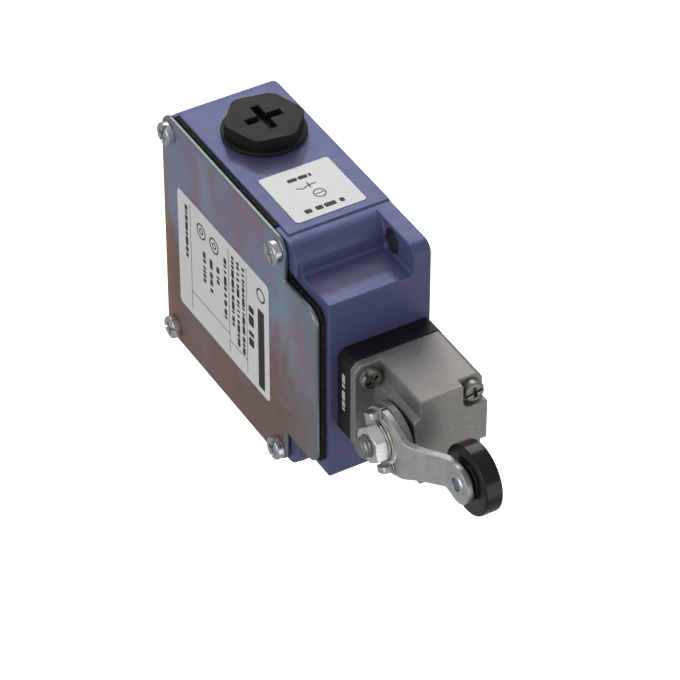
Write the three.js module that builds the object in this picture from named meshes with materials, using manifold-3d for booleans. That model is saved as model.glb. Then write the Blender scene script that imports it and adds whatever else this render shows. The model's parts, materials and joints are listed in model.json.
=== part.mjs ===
// Limit switch: die-cast body with three cable entries, screwed head and cranked roller lever.
// Millimetres, +Z towards the head, -Y towards the cover, mounting face in the plane Y = 0.
// Heights are measured from the bottom of the body; the whole group is lowered at the end.
import * as THREE from 'three';
import { mergeVertices } from 'three/addons/utils/BufferGeometryUtils.js';
import Module from 'manifold-3d';

const wasm = await Module();
wasm.setup();

// ---------- driving dimensions ----------
// GAP parts two resting faces, RUN is a running clearance, OVER is how far a cut passes a face.
const ORIGIN_HEIGHT = 30;
const GAP = 0.05;
const RUN = 0.25;
const OVER = 1;

const BODY = { half: 32, corner: 4.8, shoulder: 59.2, neck: 24.45, top: 71.2, front: -25.4 };
const CAVITY = {
  back: -3, low: 5, entryHalf: 26.8, entryLow: 9, entryHigh: 48,
  half: 22.8, high: 53.4, neckHalf: 20.8, neckTop: 67.5,
};
const EAR = {
  half: 31.6, front: -4.4, bottom: 49.2, corner: 2.8, holeX: 27.5, holeZ: 61.9, holeR: 2.6, holeFlat: 0.5,
};
const COVER = {
  half: 31.9, corner: 4, shoulder: 55.9, neck: 21.6, neckCorner: 3.5, top: 69.6, back: -26.45, front: -28,
};
const COVER_SCREW = { x: 28.2, zLow: 4, zHigh: 53, headR: 2.75, headH: 1.8, shankR: 1.4, reach: 8 };
const LAND = { outerX: 26, lowTop: 4, highX: 24, highBottom: 49.5, ring: 2.9 };
const GASKET = { neck: 21.9, top: 69.9 };
const LABEL = { left: -15.2, right: 18.1, bottom: 7.2, top: 49.3, corner: 1.2, thick: 0.1 };
const SIDE_LABEL = { front: -22, back: -4.4, bottom: 33.9, top: 51.4, corner: 0.8 };
const DRIVE_SLOT = { half: 0.35, depth: 0.75 };
const HEAD_EDGE = 0.25;

const ENTRY = { y: -12, z: 19, boreR: 7.6 };
const PLUG = {
  washerR: 9.5, washerT: 0.45, flangeR: 9.75, flangeT: 0.65, hexR: 9.5, hexT: 3, hexSeat: 0.1, turn: 10.5,
  stemR: 7.4, stemWall: 1.4, stemL: 6.6,
};
const PLUG_CROSS = { length: 8.8, width: 1.9, depth: 2 };

const HEAD = {
  y: -11.7, half: 11.7, chamfer: 1.5, adapterTop: 76.5, flangeTop: 78.6, top: 95.3, front: -17, corner: 0.6,
};
const PAD = { front: -18.5, half: 6.2, stepHalf: 7.3 };
const POCKET = { front: -6.2, inner: 5.3, corner: 2, floor: 92.9 };
const SEAL_RING = { inner: 5.4, outer: 6.8, depth: 0.8 };
const CAM_ROOM = { r: 4.3, front: -15, back: -3.2, floor: 80.55 };
const GUIDE = { r: 4.7, seat: 74.2, stemR: 2.5 };
const HEAD_BOLT = { spread: 8.5, headR: 2.45, headH: 2.2, shankR: 1.45, end: 67.9 };

const AXIS_Z = 90;
const SHAFT = {
  r: 3, journalR: 1.9, journalEnd: -1.5, shoulder: -3.4, step: -19.65, studR: 2.5, front: -29, chamfer: 0.4,
};
const BUSH = { r: 4 };
const SEAL = { r: 6.6, back: -18.55, front: -19.4 };
const CAM = { r: 3.9, flat: 3.35, back: -4.2, front: -14.6 };
const HUB = { r: 7.9, back: -19.7, front: -21.4 };
const LEVER = {
  back: -21.5, front: -23, hubR: 7.6, bendLow: 98.5, bendHigh: 105.8, innerBend: 0.6, outerBend: 1.2,
  eyeFront: -16.9, eyeR: 4.65, waist: 4.15, taper: 0.15, neckLow: 101, neckHigh: 105.6,
};
const LEVER_CURVE = { hubPull: 4.6, neckPull: 4.4, flare: 0.8, eyeStart: 1.8, eyePull: 1.6 };
const LUG = { angle: 63, radius: 6.2, thick: 1.5, width: 4, front: -25.5, corner: 1.2, root: 0.2 };
const WASHER = { r: 4.8, back: -23.05, front: -24.05 };
const NUT = { r: 4.6, back: -24.1, front: -27.1, turn: 8 };
const ROLLER = { z: 110.05, r: 8.22, back: -10.2, front: -14.5, boreR: 2.2, round: 0.5 };
const AXLE = { r: 1.95, rimR: 2.85, front: -17.3, tailR: 3.4, tail: -9.4 };
const SHIM = { r: 3.6 };

const FOLLOWER = { r: 4.2, stemR: 2.2, flangeT: 3.2, bottom: 64.2, chamfer: 0.6 };
const RETURN_SPRING = { r: 3.3, wire: 0.45, turns: 5 };
const YOKE = { half: 15, front: -16, back: -8, thick: 3, corner: 1 };
const BLOCK = { x: 10.3, half: 9.9, front: -20, back: -5, bottom: 29, top: 55 };
const WELL = { half: 7.4, front: -16, back: -9, floor: 32.6, roof: 52.4 };
const PUSHER = { r: 1.5, collarR: 2.6, collarBottom: 41.8 };
const BRIDGE = { half: 6.6, depth: 4.4, thick: 0.6, z: 43.6 };
const STRIP = { inner: 4.2, depth: 3.2, thick: 0.8, upper: 44.6, lower: 39.4 };
const CONTACT_SPRING = { r: 1.9, wire: 0.3, turns: 5 };
const TERMINAL = { x: 7.4, headR: 2, headH: 1.4 };
const EARTH = {
  x: 18.5, z: 13.2, postR: 3.2, postFront: -9, holeEnd: -3.5, plate: 3.4, plateT: 1,
  headR: 2.8, headH: 1.8, shankR: 1.3, reach: 5,
};

// ---------- materials ----------
const finish = (color, roughness, metalness) => (
  new THREE.MeshStandardMaterial({ color, roughness, metalness }));
const housingPaint = () => finish(0x5a5f93, 0.55, 0.1);
const dieCast = () => finish(0x97928d, 0.5, 0.8);
const zincPlate = () => finish(0xa7b0b5, 0.3, 0.9);
const brightSteel = () => finish(0xc4c8c8, 0.25, 1);
const chromated = () => finish(0x7c84a0, 0.35, 0.8);
const blackPlastic = () => finish(0x171615, 0.5, 0);
const rubber = () => finish(0x1b1b1c, 0.85, 0);
const phenolic = () => finish(0x2b2522, 0.6, 0);
const brass = () => finish(0xb79a57, 0.35, 0.9);
const springSteel = () => finish(0x8f9193, 0.3, 1);
const foil = () => finish(0xc8cbd0, 0.45, 0.4);

// ---------- solids ----------
function toSolid(geometry) {
  const bare = geometry.clone();
  bare.deleteAttribute('normal');
  bare.deleteAttribute('uv');
  const merged = mergeVertices(bare, 1e-4);
  return new wasm.Manifold(new wasm.Mesh({
    numProp: 3,
    vertProperties: new Float32Array(merged.attributes.position.array),
    triVerts: new Uint32Array(merged.index.array),
  }));
}

function toGeometry(solid) {
  const mesh = solid.getMesh();
  const geometry = new THREE.BufferGeometry();
  geometry.setAttribute('position', new THREE.BufferAttribute(new Float32Array(mesh.vertProperties), 3));
  geometry.setIndex(new THREE.BufferAttribute(new Uint32Array(mesh.triVerts), 1));
  geometry.computeVertexNormals();
  return geometry;
}

const union = (first, ...rest) => rest.reduce((a, b) => a.add(b), first);
const cut = (first, ...tools) => tools.reduce((a, b) => a.subtract(b), first);
const ordered = (a, b) => (a < b ? [a, b] : [b, a]);

// A box between pairs of limits, given in either order.
function box(xLimits, yLimits, zLimits) {
  const [[x0, x1], [y0, y1], [z0, z1]] = [xLimits, yLimits, zLimits].map((pair) => ordered(...pair));
  const geometry = new THREE.BoxGeometry(x1 - x0, y1 - y0, z1 - z0);
  return toSolid(geometry.translate((x0 + x1) / 2, (y0 + y1) / 2, (z0 + z1) / 2));
}

// Round bars along each axis.
function barX(r, limits, y, z, sides = 28) {
  const [from, to] = ordered(...limits);
  const geometry = new THREE.CylinderGeometry(r, r, to - from, sides);
  return toSolid(geometry.rotateZ(Math.PI / 2).translate((from + to) / 2, y, z));
}
function barY(r, limits, x, z, sides = 28) {
  const [from, to] = ordered(...limits);
  return toSolid(new THREE.CylinderGeometry(r, r, to - from, sides).translate(x, (from + to) / 2, z));
}
function barZ(r, limits, x, y, sides = 28) {
  const [from, to] = ordered(...limits);
  const geometry = new THREE.CylinderGeometry(r, r, to - from, sides);
  return toSolid(geometry.rotateX(Math.PI / 2).translate(x, y, (from + to) / 2));
}

// Outlines swept along one axis between two limits.
function sweep(shape, limits, curveSegments) {
  const [from, to] = ordered(...limits);
  return [new THREE.ExtrudeGeometry(shape, { depth: to - from, bevelEnabled: false, curveSegments }), from, to];
}
function slabX(shape, limits) {
  const [geometry, from] = sweep(shape, limits, 4);
  const basis = new THREE.Matrix4().makeBasis(
    new THREE.Vector3(0, 1, 0), new THREE.Vector3(0, 0, 1), new THREE.Vector3(1, 0, 0));
  return toSolid(geometry.applyMatrix4(basis).translate(from, 0, 0));
}
function slabY(shape, limits, curveSegments = 4) {
  const [geometry, , to] = sweep(shape, limits, curveSegments);
  return toSolid(geometry.rotateX(Math.PI / 2).translate(0, to, 0));
}
function slabZ(shape, limits) {
  const [geometry, from] = sweep(shape, limits, 4);
  return toSolid(geometry.translate(0, 0, from));
}

// A closed profile of [radius, position] points turned about the Y or Z axis.
function turnedZ(profile, x, y, sides = 24) {
  const points = profile.map(([r, z]) => new THREE.Vector2(r, z));
  return toSolid(new THREE.LatheGeometry(points, sides).rotateX(Math.PI / 2).translate(x, y, 0));
}
function turnedY(profile, x, z, sides = 24) {
  const points = profile.map(([r, y]) => new THREE.Vector2(r, y));
  return toSolid(new THREE.LatheGeometry(points, sides).translate(x, 0, z));
}

// An outline whose corners are [a, b, radius], each rounded by a near-circular curve.
const ROUND = 0.5523;
function roundedOutline(corners) {
  const shape = new THREE.Shape();
  const count = corners.length;
  corners.forEach(([a, b, radius = 0], i) => {
    const corner = new THREE.Vector2(a, b);
    const previous = new THREE.Vector2(...corners[(i + count - 1) % count].slice(0, 2));
    const next = new THREE.Vector2(...corners[(i + 1) % count].slice(0, 2));
    const towards = (target, share) => target.clone().sub(corner).setLength(radius * share).add(corner);
    const start = radius > 0 ? towards(previous, 1) : corner;
    if (i === 0) shape.moveTo(start.x, start.y);
    else shape.lineTo(start.x, start.y);
    if (radius > 0) {
      const [near, far, end] = [towards(previous, 1 - ROUND), towards(next, 1 - ROUND), towards(next, 1)];
      shape.bezierCurveTo(near.x, near.y, far.x, far.y, end.x, end.y);
    }
  });
  shape.closePath();
  return shape;
}

const rectangle = (a0, a1, b0, b1, radius = 0) => roundedOutline([
  [a0, b0, radius], [a1, b0, radius], [a1, b1, radius], [a0, b1, radius],
]);

// The T-shaped outline that body, gasket and cover share, in X and Z.
function tee({ half, bottom = 0, corner, shoulder, neck, neckCorner = 0, top }) {
  return roundedOutline([
    [-half, bottom, corner], [half, bottom, corner], [half, shoulder, corner], [neck, shoulder],
    [neck, top, neckCorner], [-neck, top, neckCorner], [-neck, shoulder], [-half, shoulder, corner],
  ]);
}

// A regular hexagon about a centre of the outline plane, its first corner at an angle in degrees.
function hexagon(radius, turn, centreA, centreB) {
  const shape = new THREE.Shape();
  for (let i = 0; i < 6; i += 1) {
    const angle = THREE.MathUtils.degToRad(turn + 60 * i);
    const [a, b] = [centreA + radius * Math.cos(angle), centreB + radius * Math.sin(angle)];
    if (i === 0) shape.moveTo(a, b);
    else shape.lineTo(a, b);
  }
  shape.closePath();
  return shape;
}

class Helix extends THREE.Curve {
  constructor(radius, bottom, top, turns) {
    super();
    Object.assign(this, { radius, bottom, top, turns });
  }

  getPoint(t) {
    const angle = 2 * Math.PI * this.turns * t;
    const height = THREE.MathUtils.lerp(this.bottom, this.top, t);
    return new THREE.Vector3(this.radius * Math.cos(angle), this.radius * Math.sin(angle), height);
  }
}

// A coil spring standing on Z; its last turns end a little inside the two seats.
const SPRING_STEPS = 8;
const SPRING_INSET = 1.3;
function coilSpring({ r, wire, turns }, bottom, top, x, y) {
  const section = new THREE.Shape().absarc(0, 0, wire, 0, 2 * Math.PI, false);
  const inset = SPRING_INSET * wire;
  const geometry = new THREE.ExtrudeGeometry(section, {
    steps: turns * SPRING_STEPS,
    extrudePath: new Helix(r, bottom + inset, top - inset, turns),
    bevelEnabled: false,
    curveSegments: 3,
  });
  return toSolid(geometry.translate(x, y, 0));
}

const model = new THREE.Group();
model.position.z = -ORIGIN_HEIGHT;
function place(name, solid, material) {
  const mesh = new THREE.Mesh(toGeometry(solid), material);
  mesh.name = name;
  model.add(mesh);
}

// ---------- shared places ----------
const SIDES = [[-1, 'left'], [1, 'right']];
const BLOCKS = [[-1, 'a'], [1, 'b']];
const coverScrews = [
  [-COVER_SCREW.x, COVER_SCREW.zLow], [COVER_SCREW.x, COVER_SCREW.zLow],
  [-COVER_SCREW.x, COVER_SCREW.zHigh], [COVER_SCREW.x, COVER_SCREW.zHigh],
];
const headBolts = [
  [-HEAD_BOLT.spread, HEAD.y - HEAD_BOLT.spread, HEAD.flangeTop],
  [HEAD_BOLT.spread, HEAD.y - HEAD_BOLT.spread, HEAD.flangeTop],
  [-HEAD_BOLT.spread, HEAD.y + HEAD_BOLT.spread, POCKET.floor],
  [HEAD_BOLT.spread, HEAD.y + HEAD_BOLT.spread, POCKET.floor],
];

// ---------- body ----------
// Raised corners that carry the cover around its four screws, grown by a clearance.
function cornerLands(front, grow) {
  return coverScrews.map(([x, z]) => {
    const side = Math.sign(x);
    const low = z < BODY.shoulder / 2;
    const inner = low ? LAND.outerX : LAND.highX;
    const heights = low ? [-grow, LAND.lowTop + grow] : [LAND.highBottom - grow, BODY.shoulder + grow];
    const depth = [front, BODY.front + OVER];
    const corner = box([side * (inner - grow), side * (BODY.half + grow)], depth, heights);
    return union(corner, barY(LAND.ring + grow, depth, x, z, 20));
  });
}

const bodyOutline = (limits) => slabY(tee(BODY), limits);

function cavitySolid(front) {
  const depth = [CAVITY.back, front];
  return union(
    box([-CAVITY.entryHalf, CAVITY.entryHalf], depth, [CAVITY.entryLow, CAVITY.entryHigh]),
    box([-CAVITY.half, CAVITY.half], depth, [CAVITY.low, CAVITY.high]),
    box([-CAVITY.neckHalf, CAVITY.neckHalf], depth, [CAVITY.low, CAVITY.neckTop]),
  );
}

function fixingSlot(side) {
  const limits = [EAR.front - OVER, OVER];
  const [x, z, r] = [side * EAR.holeX, EAR.holeZ, EAR.holeR];
  return union(
    barY(r, limits, x - EAR.holeFlat, z, 20),
    barY(r, limits, x + EAR.holeFlat, z, 20),
    box([x - EAR.holeFlat, x + EAR.holeFlat], limits, [z - r, z + r]),
  );
}

function bodyHousing() {
  const main = bodyOutline([BODY.front, 0]);
  const ears = slabY(roundedOutline([
    [-EAR.half, EAR.bottom], [EAR.half, EAR.bottom],
    [EAR.half, BODY.top, EAR.corner], [-EAR.half, BODY.top, EAR.corner],
  ]), [EAR.front, 0]);
  const landLimits = [COVER.back, 0];
  const lands = cornerLands(COVER.back - GAP, 0).map((land) => land.intersect(bodyOutline(landLimits)));
  const post = barY(EARTH.postR, [EARTH.postFront, CAVITY.back + OVER], EARTH.x, EARTH.z, 16);
  const entries = SIDES.map(([side]) => {
    const limits = [side * (CAVITY.entryHalf - OVER), side * (BODY.half + OVER)];
    return barX(ENTRY.boreR, limits, ENTRY.y, ENTRY.z);
  });
  const screwDepth = [COVER.back - OVER, COVER.back + COVER_SCREW.reach + OVER];
  const screwHoles = coverScrews.map(([x, z]) => barY(COVER_SCREW.shankR + GAP, screwDepth, x, z, 12));
  const boltDepth = [HEAD_BOLT.end - OVER, BODY.top + OVER];
  const boltHoles = headBolts.map(([x, y]) => barZ(HEAD_BOLT.shankR + GAP, boltDepth, x, y, 12));
  const shell = union(main, ears, ...lands).subtract(cavitySolid(BODY.front - 2 * OVER));
  return cut(
    union(shell, post),
    ...entries,
    barZ(ENTRY.boreR, [-OVER, CAVITY.low + OVER], 0, ENTRY.y),
    barZ(GUIDE.stemR + RUN, [CAVITY.neckTop - OVER, BODY.top + OVER], 0, HEAD.y, 20),
    barY(EARTH.shankR + GAP, [EARTH.postFront - OVER, EARTH.holeEnd], EARTH.x, EARTH.z, 12),
    fixingSlot(-1),
    fixingSlot(1),
    ...screwHoles,
    ...boltHoles,
  );
}
place('body_housing', bodyHousing(), housingPaint());

// ---------- cover, gasket and labels ----------
function coverGasket() {
  const limits = [COVER.back + GAP, BODY.front - GAP];
  const outer = slabY(tee({ ...COVER, neck: GASKET.neck, top: GASKET.top }), limits);
  return cut(outer, cavitySolid(COVER.back - OVER), ...cornerLands(COVER.back - OVER, 2 * GAP));
}
place('cover_gasket', coverGasket(), rubber());

function coverPlate() {
  const depth = [COVER.front - OVER, COVER.back + OVER];
  const holes = coverScrews.map(([x, z]) => barY(COVER_SCREW.shankR + GAP, depth, x, z, 12));
  return cut(slabY(tee(COVER), [COVER.front, COVER.back - 2 * GAP]), ...holes);
}
place('cover_plate', coverPlate(), chromated());

const coverLabel = slabY(
  rectangle(LABEL.left, LABEL.right, LABEL.bottom, LABEL.top, LABEL.corner),
  [COVER.front - GAP - LABEL.thick, COVER.front - GAP]);
place('cover_label', coverLabel, foil());

const sideLabel = slabX(
  rectangle(SIDE_LABEL.front, SIDE_LABEL.back, SIDE_LABEL.bottom, SIDE_LABEL.top, SIDE_LABEL.corner),
  [-BODY.half - GAP, -BODY.half - GAP - LABEL.thick]);
place('side_label', sideLabel, foil());

// A cheese-head screw along Y: the head's seat is at y, the shank runs towards +Y.
function screwY({ headR, headH, shankR, reach }, seat, x, z) {
  const top = seat - headH;
  const slotDepth = [top - OVER, top + DRIVE_SLOT.depth];
  const slot = box([x - headR - OVER, x + headR + OVER], slotDepth, [z - DRIVE_SLOT.half, z + DRIVE_SLOT.half]);
  return turnedY([
    [0, top], [headR - HEAD_EDGE, top], [headR, top + HEAD_EDGE],
    [headR, seat], [shankR, seat], [shankR, seat + reach], [0, seat + reach],
  ], x, z, 16).subtract(slot);
}
coverScrews.forEach(([x, z], i) => {
  place(`cover_screw_${i + 1}`, screwY(COVER_SCREW, COVER.front - GAP, x, z), brightSteel());
});

// ---------- side entries ----------
SIDES.forEach(([side, word]) => {
  const outward = (...places) => places.map((x) => side * x);
  const seat = BODY.half + GAP;
  const washerHole = barX(PLUG.stemR + 2 * GAP, outward(seat - OVER, seat + OVER), ENTRY.y, ENTRY.z);
  const washer = barX(PLUG.washerR, outward(seat, seat + PLUG.washerT), ENTRY.y, ENTRY.z);
  place(`plug_washer_${word}`, washer.subtract(washerHole), rubber());

  const flange = seat + PLUG.washerT + GAP;
  const hexSeat = flange + PLUG.hexSeat;
  const top = flange + PLUG.flangeT + PLUG.hexT;
  const inner = BODY.half - PLUG.stemL;
  const [long, narrow] = [PLUG_CROSS.length / 2, PLUG_CROSS.width / 2];
  const cross = [[long, narrow], [narrow, long]].map(([dy, dz]) => {
    const depth = outward(top - PLUG_CROSS.depth, top + OVER);
    return box(depth, [ENTRY.y - dy, ENTRY.y + dy], [ENTRY.z - dz, ENTRY.z + dz]);
  });
  const plug = cut(
    union(
      barX(PLUG.flangeR, outward(flange, flange + PLUG.flangeT), ENTRY.y, ENTRY.z),
      slabX(hexagon(PLUG.hexR, PLUG.turn, ENTRY.y, ENTRY.z), outward(hexSeat, top)),
      barX(PLUG.stemR, outward(inner, hexSeat), ENTRY.y, ENTRY.z),
    ),
    barX(PLUG.stemR - PLUG.stemWall, outward(inner - OVER, flange), ENTRY.y, ENTRY.z),
    ...cross,
  );
  place(`plug_${word}`, plug, blackPlastic());
});

// ---------- head ----------
const headFootprint = () => {
  const [front, back] = [HEAD.y - HEAD.half, HEAD.y + HEAD.half];
  const [h, c] = [HEAD.half, HEAD.chamfer];
  return roundedOutline([
    [-h + c, front], [h - c, front], [h, front + c], [h, back - c],
    [h - c, back], [-h + c, back], [-h, back - c], [-h, front + c],
  ]);
};
const boltClearances = (from, to) => headBolts.map(([x, y]) => (
  barZ(HEAD_BOLT.shankR + GAP, [from, to], x, y, 12)));

function headAdapter() {
  const groove = barZ(
    SEAL_RING.outer + GAP, [HEAD.adapterTop - SEAL_RING.depth - GAP, HEAD.adapterTop + OVER], 0, HEAD.y)
    .subtract(barZ(SEAL_RING.inner - GAP, [GUIDE.seat, HEAD.adapterTop + 2 * OVER], 0, HEAD.y));
  return cut(
    slabZ(headFootprint(), [BODY.top + GAP, HEAD.adapterTop]),
    barZ(GUIDE.r, [GUIDE.seat, HEAD.adapterTop + OVER], 0, HEAD.y, 20),
    barZ(GUIDE.stemR, [BODY.top - OVER, GUIDE.seat + OVER], 0, HEAD.y, 20),
    groove,
    ...boltClearances(BODY.top - OVER, HEAD.adapterTop + OVER),
  );
}
place('head_adapter', headAdapter(), blackPlastic());

const headGasket = barZ(SEAL_RING.outer, [HEAD.adapterTop - SEAL_RING.depth, HEAD.adapterTop], 0, HEAD.y)
  .subtract(barZ(SEAL_RING.inner, [GUIDE.seat, HEAD.adapterTop + OVER], 0, HEAD.y));
place('head_gasket', headGasket, rubber());

function headHousing() {
  const bottom = HEAD.adapterTop + GAP;
  const [h, c, round] = [HEAD.half, HEAD.chamfer, HEAD.corner];
  const block = slabZ(roundedOutline([
    [-h + c, 0], [-h, -c], [-h, HEAD.front, round], [-PAD.stepHalf, HEAD.front], [-PAD.half, PAD.front],
    [PAD.half, PAD.front], [PAD.stepHalf, HEAD.front], [h, HEAD.front, round], [h, -c], [h - c, 0],
  ]), [bottom, HEAD.top]);
  const pockets = [-1, 1].map((side) => {
    const [inner, outer] = ordered(side * POCKET.inner, side * (h + OVER));
    const corners = [
      [inner, POCKET.front, side > 0 ? POCKET.corner : 0], [outer, POCKET.front, side < 0 ? POCKET.corner : 0],
      [outer, OVER], [inner, OVER],
    ];
    return slabZ(roundedOutline(corners), [POCKET.floor, HEAD.top + OVER]);
  });
  return cut(
    union(slabZ(headFootprint(), [bottom, HEAD.flangeTop]), block),
    ...pockets,
    barY(CAM_ROOM.r, [CAM_ROOM.front, CAM_ROOM.back], 0, AXIS_Z),
    box([-CAM_ROOM.r, CAM_ROOM.r], [CAM_ROOM.front, CAM_ROOM.back], [CAM_ROOM.floor, AXIS_Z]),
    barZ(GUIDE.r, [bottom - OVER, AXIS_Z - CAM.r], 0, HEAD.y, 20),
    barY(BUSH.r + GAP, [PAD.front - OVER, CAM_ROOM.front + OVER], 0, AXIS_Z, 24),
    barY(SHAFT.journalR + GAP, [CAM_ROOM.back - OVER, SHAFT.journalEnd + 2 * GAP], 0, AXIS_Z, 16),
    ...boltClearances(bottom - OVER, HEAD.top + OVER),
  );
}
place('head_housing', headHousing(), dieCast());

headBolts.forEach(([x, y, floor], i) => {
  const seat = floor + GAP;
  const top = seat + HEAD_BOLT.headH;
  const bolt = turnedZ([
    [0, HEAD_BOLT.end], [HEAD_BOLT.shankR, HEAD_BOLT.end], [HEAD_BOLT.shankR, seat], [HEAD_BOLT.headR, seat],
    [HEAD_BOLT.headR, top - HEAD_EDGE], [HEAD_BOLT.headR - HEAD_EDGE, top], [0, top],
  ], x, y, 16);
  const across = HEAD_BOLT.headR + OVER;
  const slot = box(
    [x - DRIVE_SLOT.half, x + DRIVE_SLOT.half], [y - across, y + across], [top - DRIVE_SLOT.depth, top + OVER]);
  place(`head_screw_${i + 1}`, bolt.subtract(slot), brightSteel());
});

// ---------- shaft, hub and lever ----------
place('lever_shaft', turnedY([
  [0, SHAFT.front], [SHAFT.studR - SHAFT.chamfer, SHAFT.front],
  [SHAFT.studR, SHAFT.front + SHAFT.chamfer], [SHAFT.studR, SHAFT.step],
  [SHAFT.r, SHAFT.step], [SHAFT.r, SHAFT.shoulder], [SHAFT.journalR, SHAFT.shoulder],
  [SHAFT.journalR, SHAFT.journalEnd], [0, SHAFT.journalEnd],
], 0, AXIS_Z, 20), springSteel());

// A ring about the shaft axis, from its front to its back.
function shaftRing(outer, inner, front, back, sides = 28) {
  return barY(outer, [front, back], 0, AXIS_Z, sides)
    .subtract(barY(inner, [front - OVER, back + OVER], 0, AXIS_Z, sides));
}

place('shaft_bush', shaftRing(BUSH.r, SHAFT.r + GAP, PAD.front + GAP, CAM_ROOM.front, 24), brass());
place('shaft_seal', shaftRing(SEAL.r, SHAFT.r + GAP, SEAL.front, SEAL.back), rubber());

const cam = shaftRing(CAM.r, SHAFT.r + GAP, CAM.front, CAM.back, 24)
  .subtract(box(
    [-CAM.r, CAM.r], [CAM.front - OVER, CAM.back + OVER], [AXIS_Z - CAM.r - OVER, AXIS_Z - CAM.flat]));
place('shaft_cam', cam, springSteel());
place('hub_disc', shaftRing(HUB.r, SHAFT.studR + GAP, HUB.front, HUB.back), dieCast());

// The strip's front view: a round hub, a waist and a round eye.
function leverOutline() {
  const shape = new THREE.Shape();
  const [hub, eye] = [LEVER.hubR, LEVER.eyeR];
  const [low, high] = [LEVER.waist + LEVER.taper, LEVER.waist - LEVER.taper];
  const hubPull = AXIS_Z + LEVER_CURVE.hubPull;
  const neckPull = LEVER.neckLow - LEVER_CURVE.neckPull;
  const eyeStart = LEVER.neckHigh + LEVER_CURVE.eyeStart;
  const eyePull = ROLLER.z - LEVER_CURVE.eyePull;
  shape.moveTo(hub, AXIS_Z);
  shape.bezierCurveTo(hub, hubPull, low + LEVER_CURVE.flare, neckPull, low, LEVER.neckLow);
  shape.lineTo(high, LEVER.neckHigh);
  shape.bezierCurveTo(high, eyeStart, eye, eyePull, eye, ROLLER.z);
  shape.absarc(0, ROLLER.z, eye, 0, Math.PI, false);
  shape.bezierCurveTo(-eye, eyePull, -high, eyeStart, -high, LEVER.neckHigh);
  shape.lineTo(-low, LEVER.neckLow);
  shape.bezierCurveTo(-low - LEVER_CURVE.flare, neckPull, -hub, hubPull, -hub, AXIS_Z);
  shape.absarc(0, AXIS_Z, hub, Math.PI, 2 * Math.PI, false);
  return shape;
}

// The strip's side view: straight at the hub, cranked back, straight again at the eye.
function leverSide() {
  const thick = LEVER.back - LEVER.front;
  const slope = Math.atan2(LEVER.eyeFront - LEVER.front, LEVER.bendHigh - LEVER.bendLow);
  const mitre = thick * Math.tan(slope / 2);
  const eyeBack = LEVER.eyeFront + thick;
  const [bottom, top] = [AXIS_Z - LEVER.hubR - OVER, ROLLER.z + LEVER.eyeR + OVER];
  return roundedOutline([
    [LEVER.front, bottom], [LEVER.back, bottom], [LEVER.back, LEVER.bendLow - mitre, LEVER.innerBend],
    [eyeBack, LEVER.bendHigh - mitre, LEVER.outerBend], [eyeBack, top],
    [LEVER.eyeFront, top], [LEVER.eyeFront, LEVER.bendHigh, LEVER.innerBend],
    [LEVER.front, LEVER.bendLow, LEVER.outerBend],
  ]);
}

// A lug bent forward at the hub's rim, at an angle about the shaft, within the hub's outline.
function leverLug(degrees) {
  const outline = rectangle(-LUG.width / 2, LUG.width / 2, LUG.front, LEVER.back - LUG.root, LUG.corner);
  const [geometry] = sweep(outline, [0, LUG.thick], 4);
  geometry.translate(0, 0, LUG.radius - LUG.thick / 2);
  const lug = toSolid(geometry.rotateY(THREE.MathUtils.degToRad(degrees)).translate(0, 0, AXIS_Z));
  return lug.intersect(barY(LEVER.hubR, [LUG.front - OVER, LEVER.back], 0, AXIS_Z));
}

const eyeBack = LEVER.eyeFront + LEVER.back - LEVER.front;
function leverArm() {
  const width = LEVER.hubR + OVER;
  const depth = [LEVER.front - OVER, eyeBack + OVER];
  const strip = slabX(leverSide(), [-width, width]).intersect(slabY(leverOutline(), depth, 8));
  return cut(
    union(strip, leverLug(LUG.angle), leverLug(LUG.angle + 180)),
    barY(SHAFT.studR + GAP, [LEVER.front - OVER, LEVER.back + OVER], 0, AXIS_Z),
    barY(AXLE.r + GAP, [LEVER.eyeFront - OVER, eyeBack + OVER], 0, ROLLER.z),
  );
}
place('lever_arm', leverArm(), zincPlate());
place('lock_washer', shaftRing(WASHER.r, SHAFT.studR + GAP, WASHER.front, WASHER.back), brightSteel());

const nut = slabY(hexagon(NUT.r, NUT.turn, 0, AXIS_Z), [NUT.front, NUT.back])
  .subtract(barY(SHAFT.studR + GAP, [NUT.front - OVER, NUT.back + OVER], 0, AXIS_Z, 20));
place('clamp_nut', nut, brightSteel());

// ---------- roller ----------
place('roller_axle', turnedY([
  [0, AXLE.front], [AXLE.rimR, AXLE.front], [AXLE.rimR, LEVER.eyeFront - GAP],
  [AXLE.r, LEVER.eyeFront - GAP], [AXLE.r, ROLLER.back + RUN],
  [AXLE.tailR, ROLLER.back + RUN], [AXLE.tailR, AXLE.tail], [0, AXLE.tail],
], 0, ROLLER.z, 20), brightSteel());

const rollerWasher = barY(SHIM.r, [eyeBack + GAP, ROLLER.front - RUN], 0, ROLLER.z, 20)
  .subtract(barY(AXLE.r + GAP, [eyeBack - OVER, ROLLER.front + OVER], 0, ROLLER.z, 20));
place('roller_washer', rollerWasher, brightSteel());

place('roller', turnedY([
  [ROLLER.boreR, ROLLER.front], [ROLLER.r - ROLLER.round, ROLLER.front], [ROLLER.r, ROLLER.front + ROLLER.round],
  [ROLLER.r, ROLLER.back - ROLLER.round], [ROLLER.r - ROLLER.round, ROLLER.back], [ROLLER.boreR, ROLLER.back],
  [ROLLER.boreR, ROLLER.front],
], 0, ROLLER.z, 48), blackPlastic());

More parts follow.
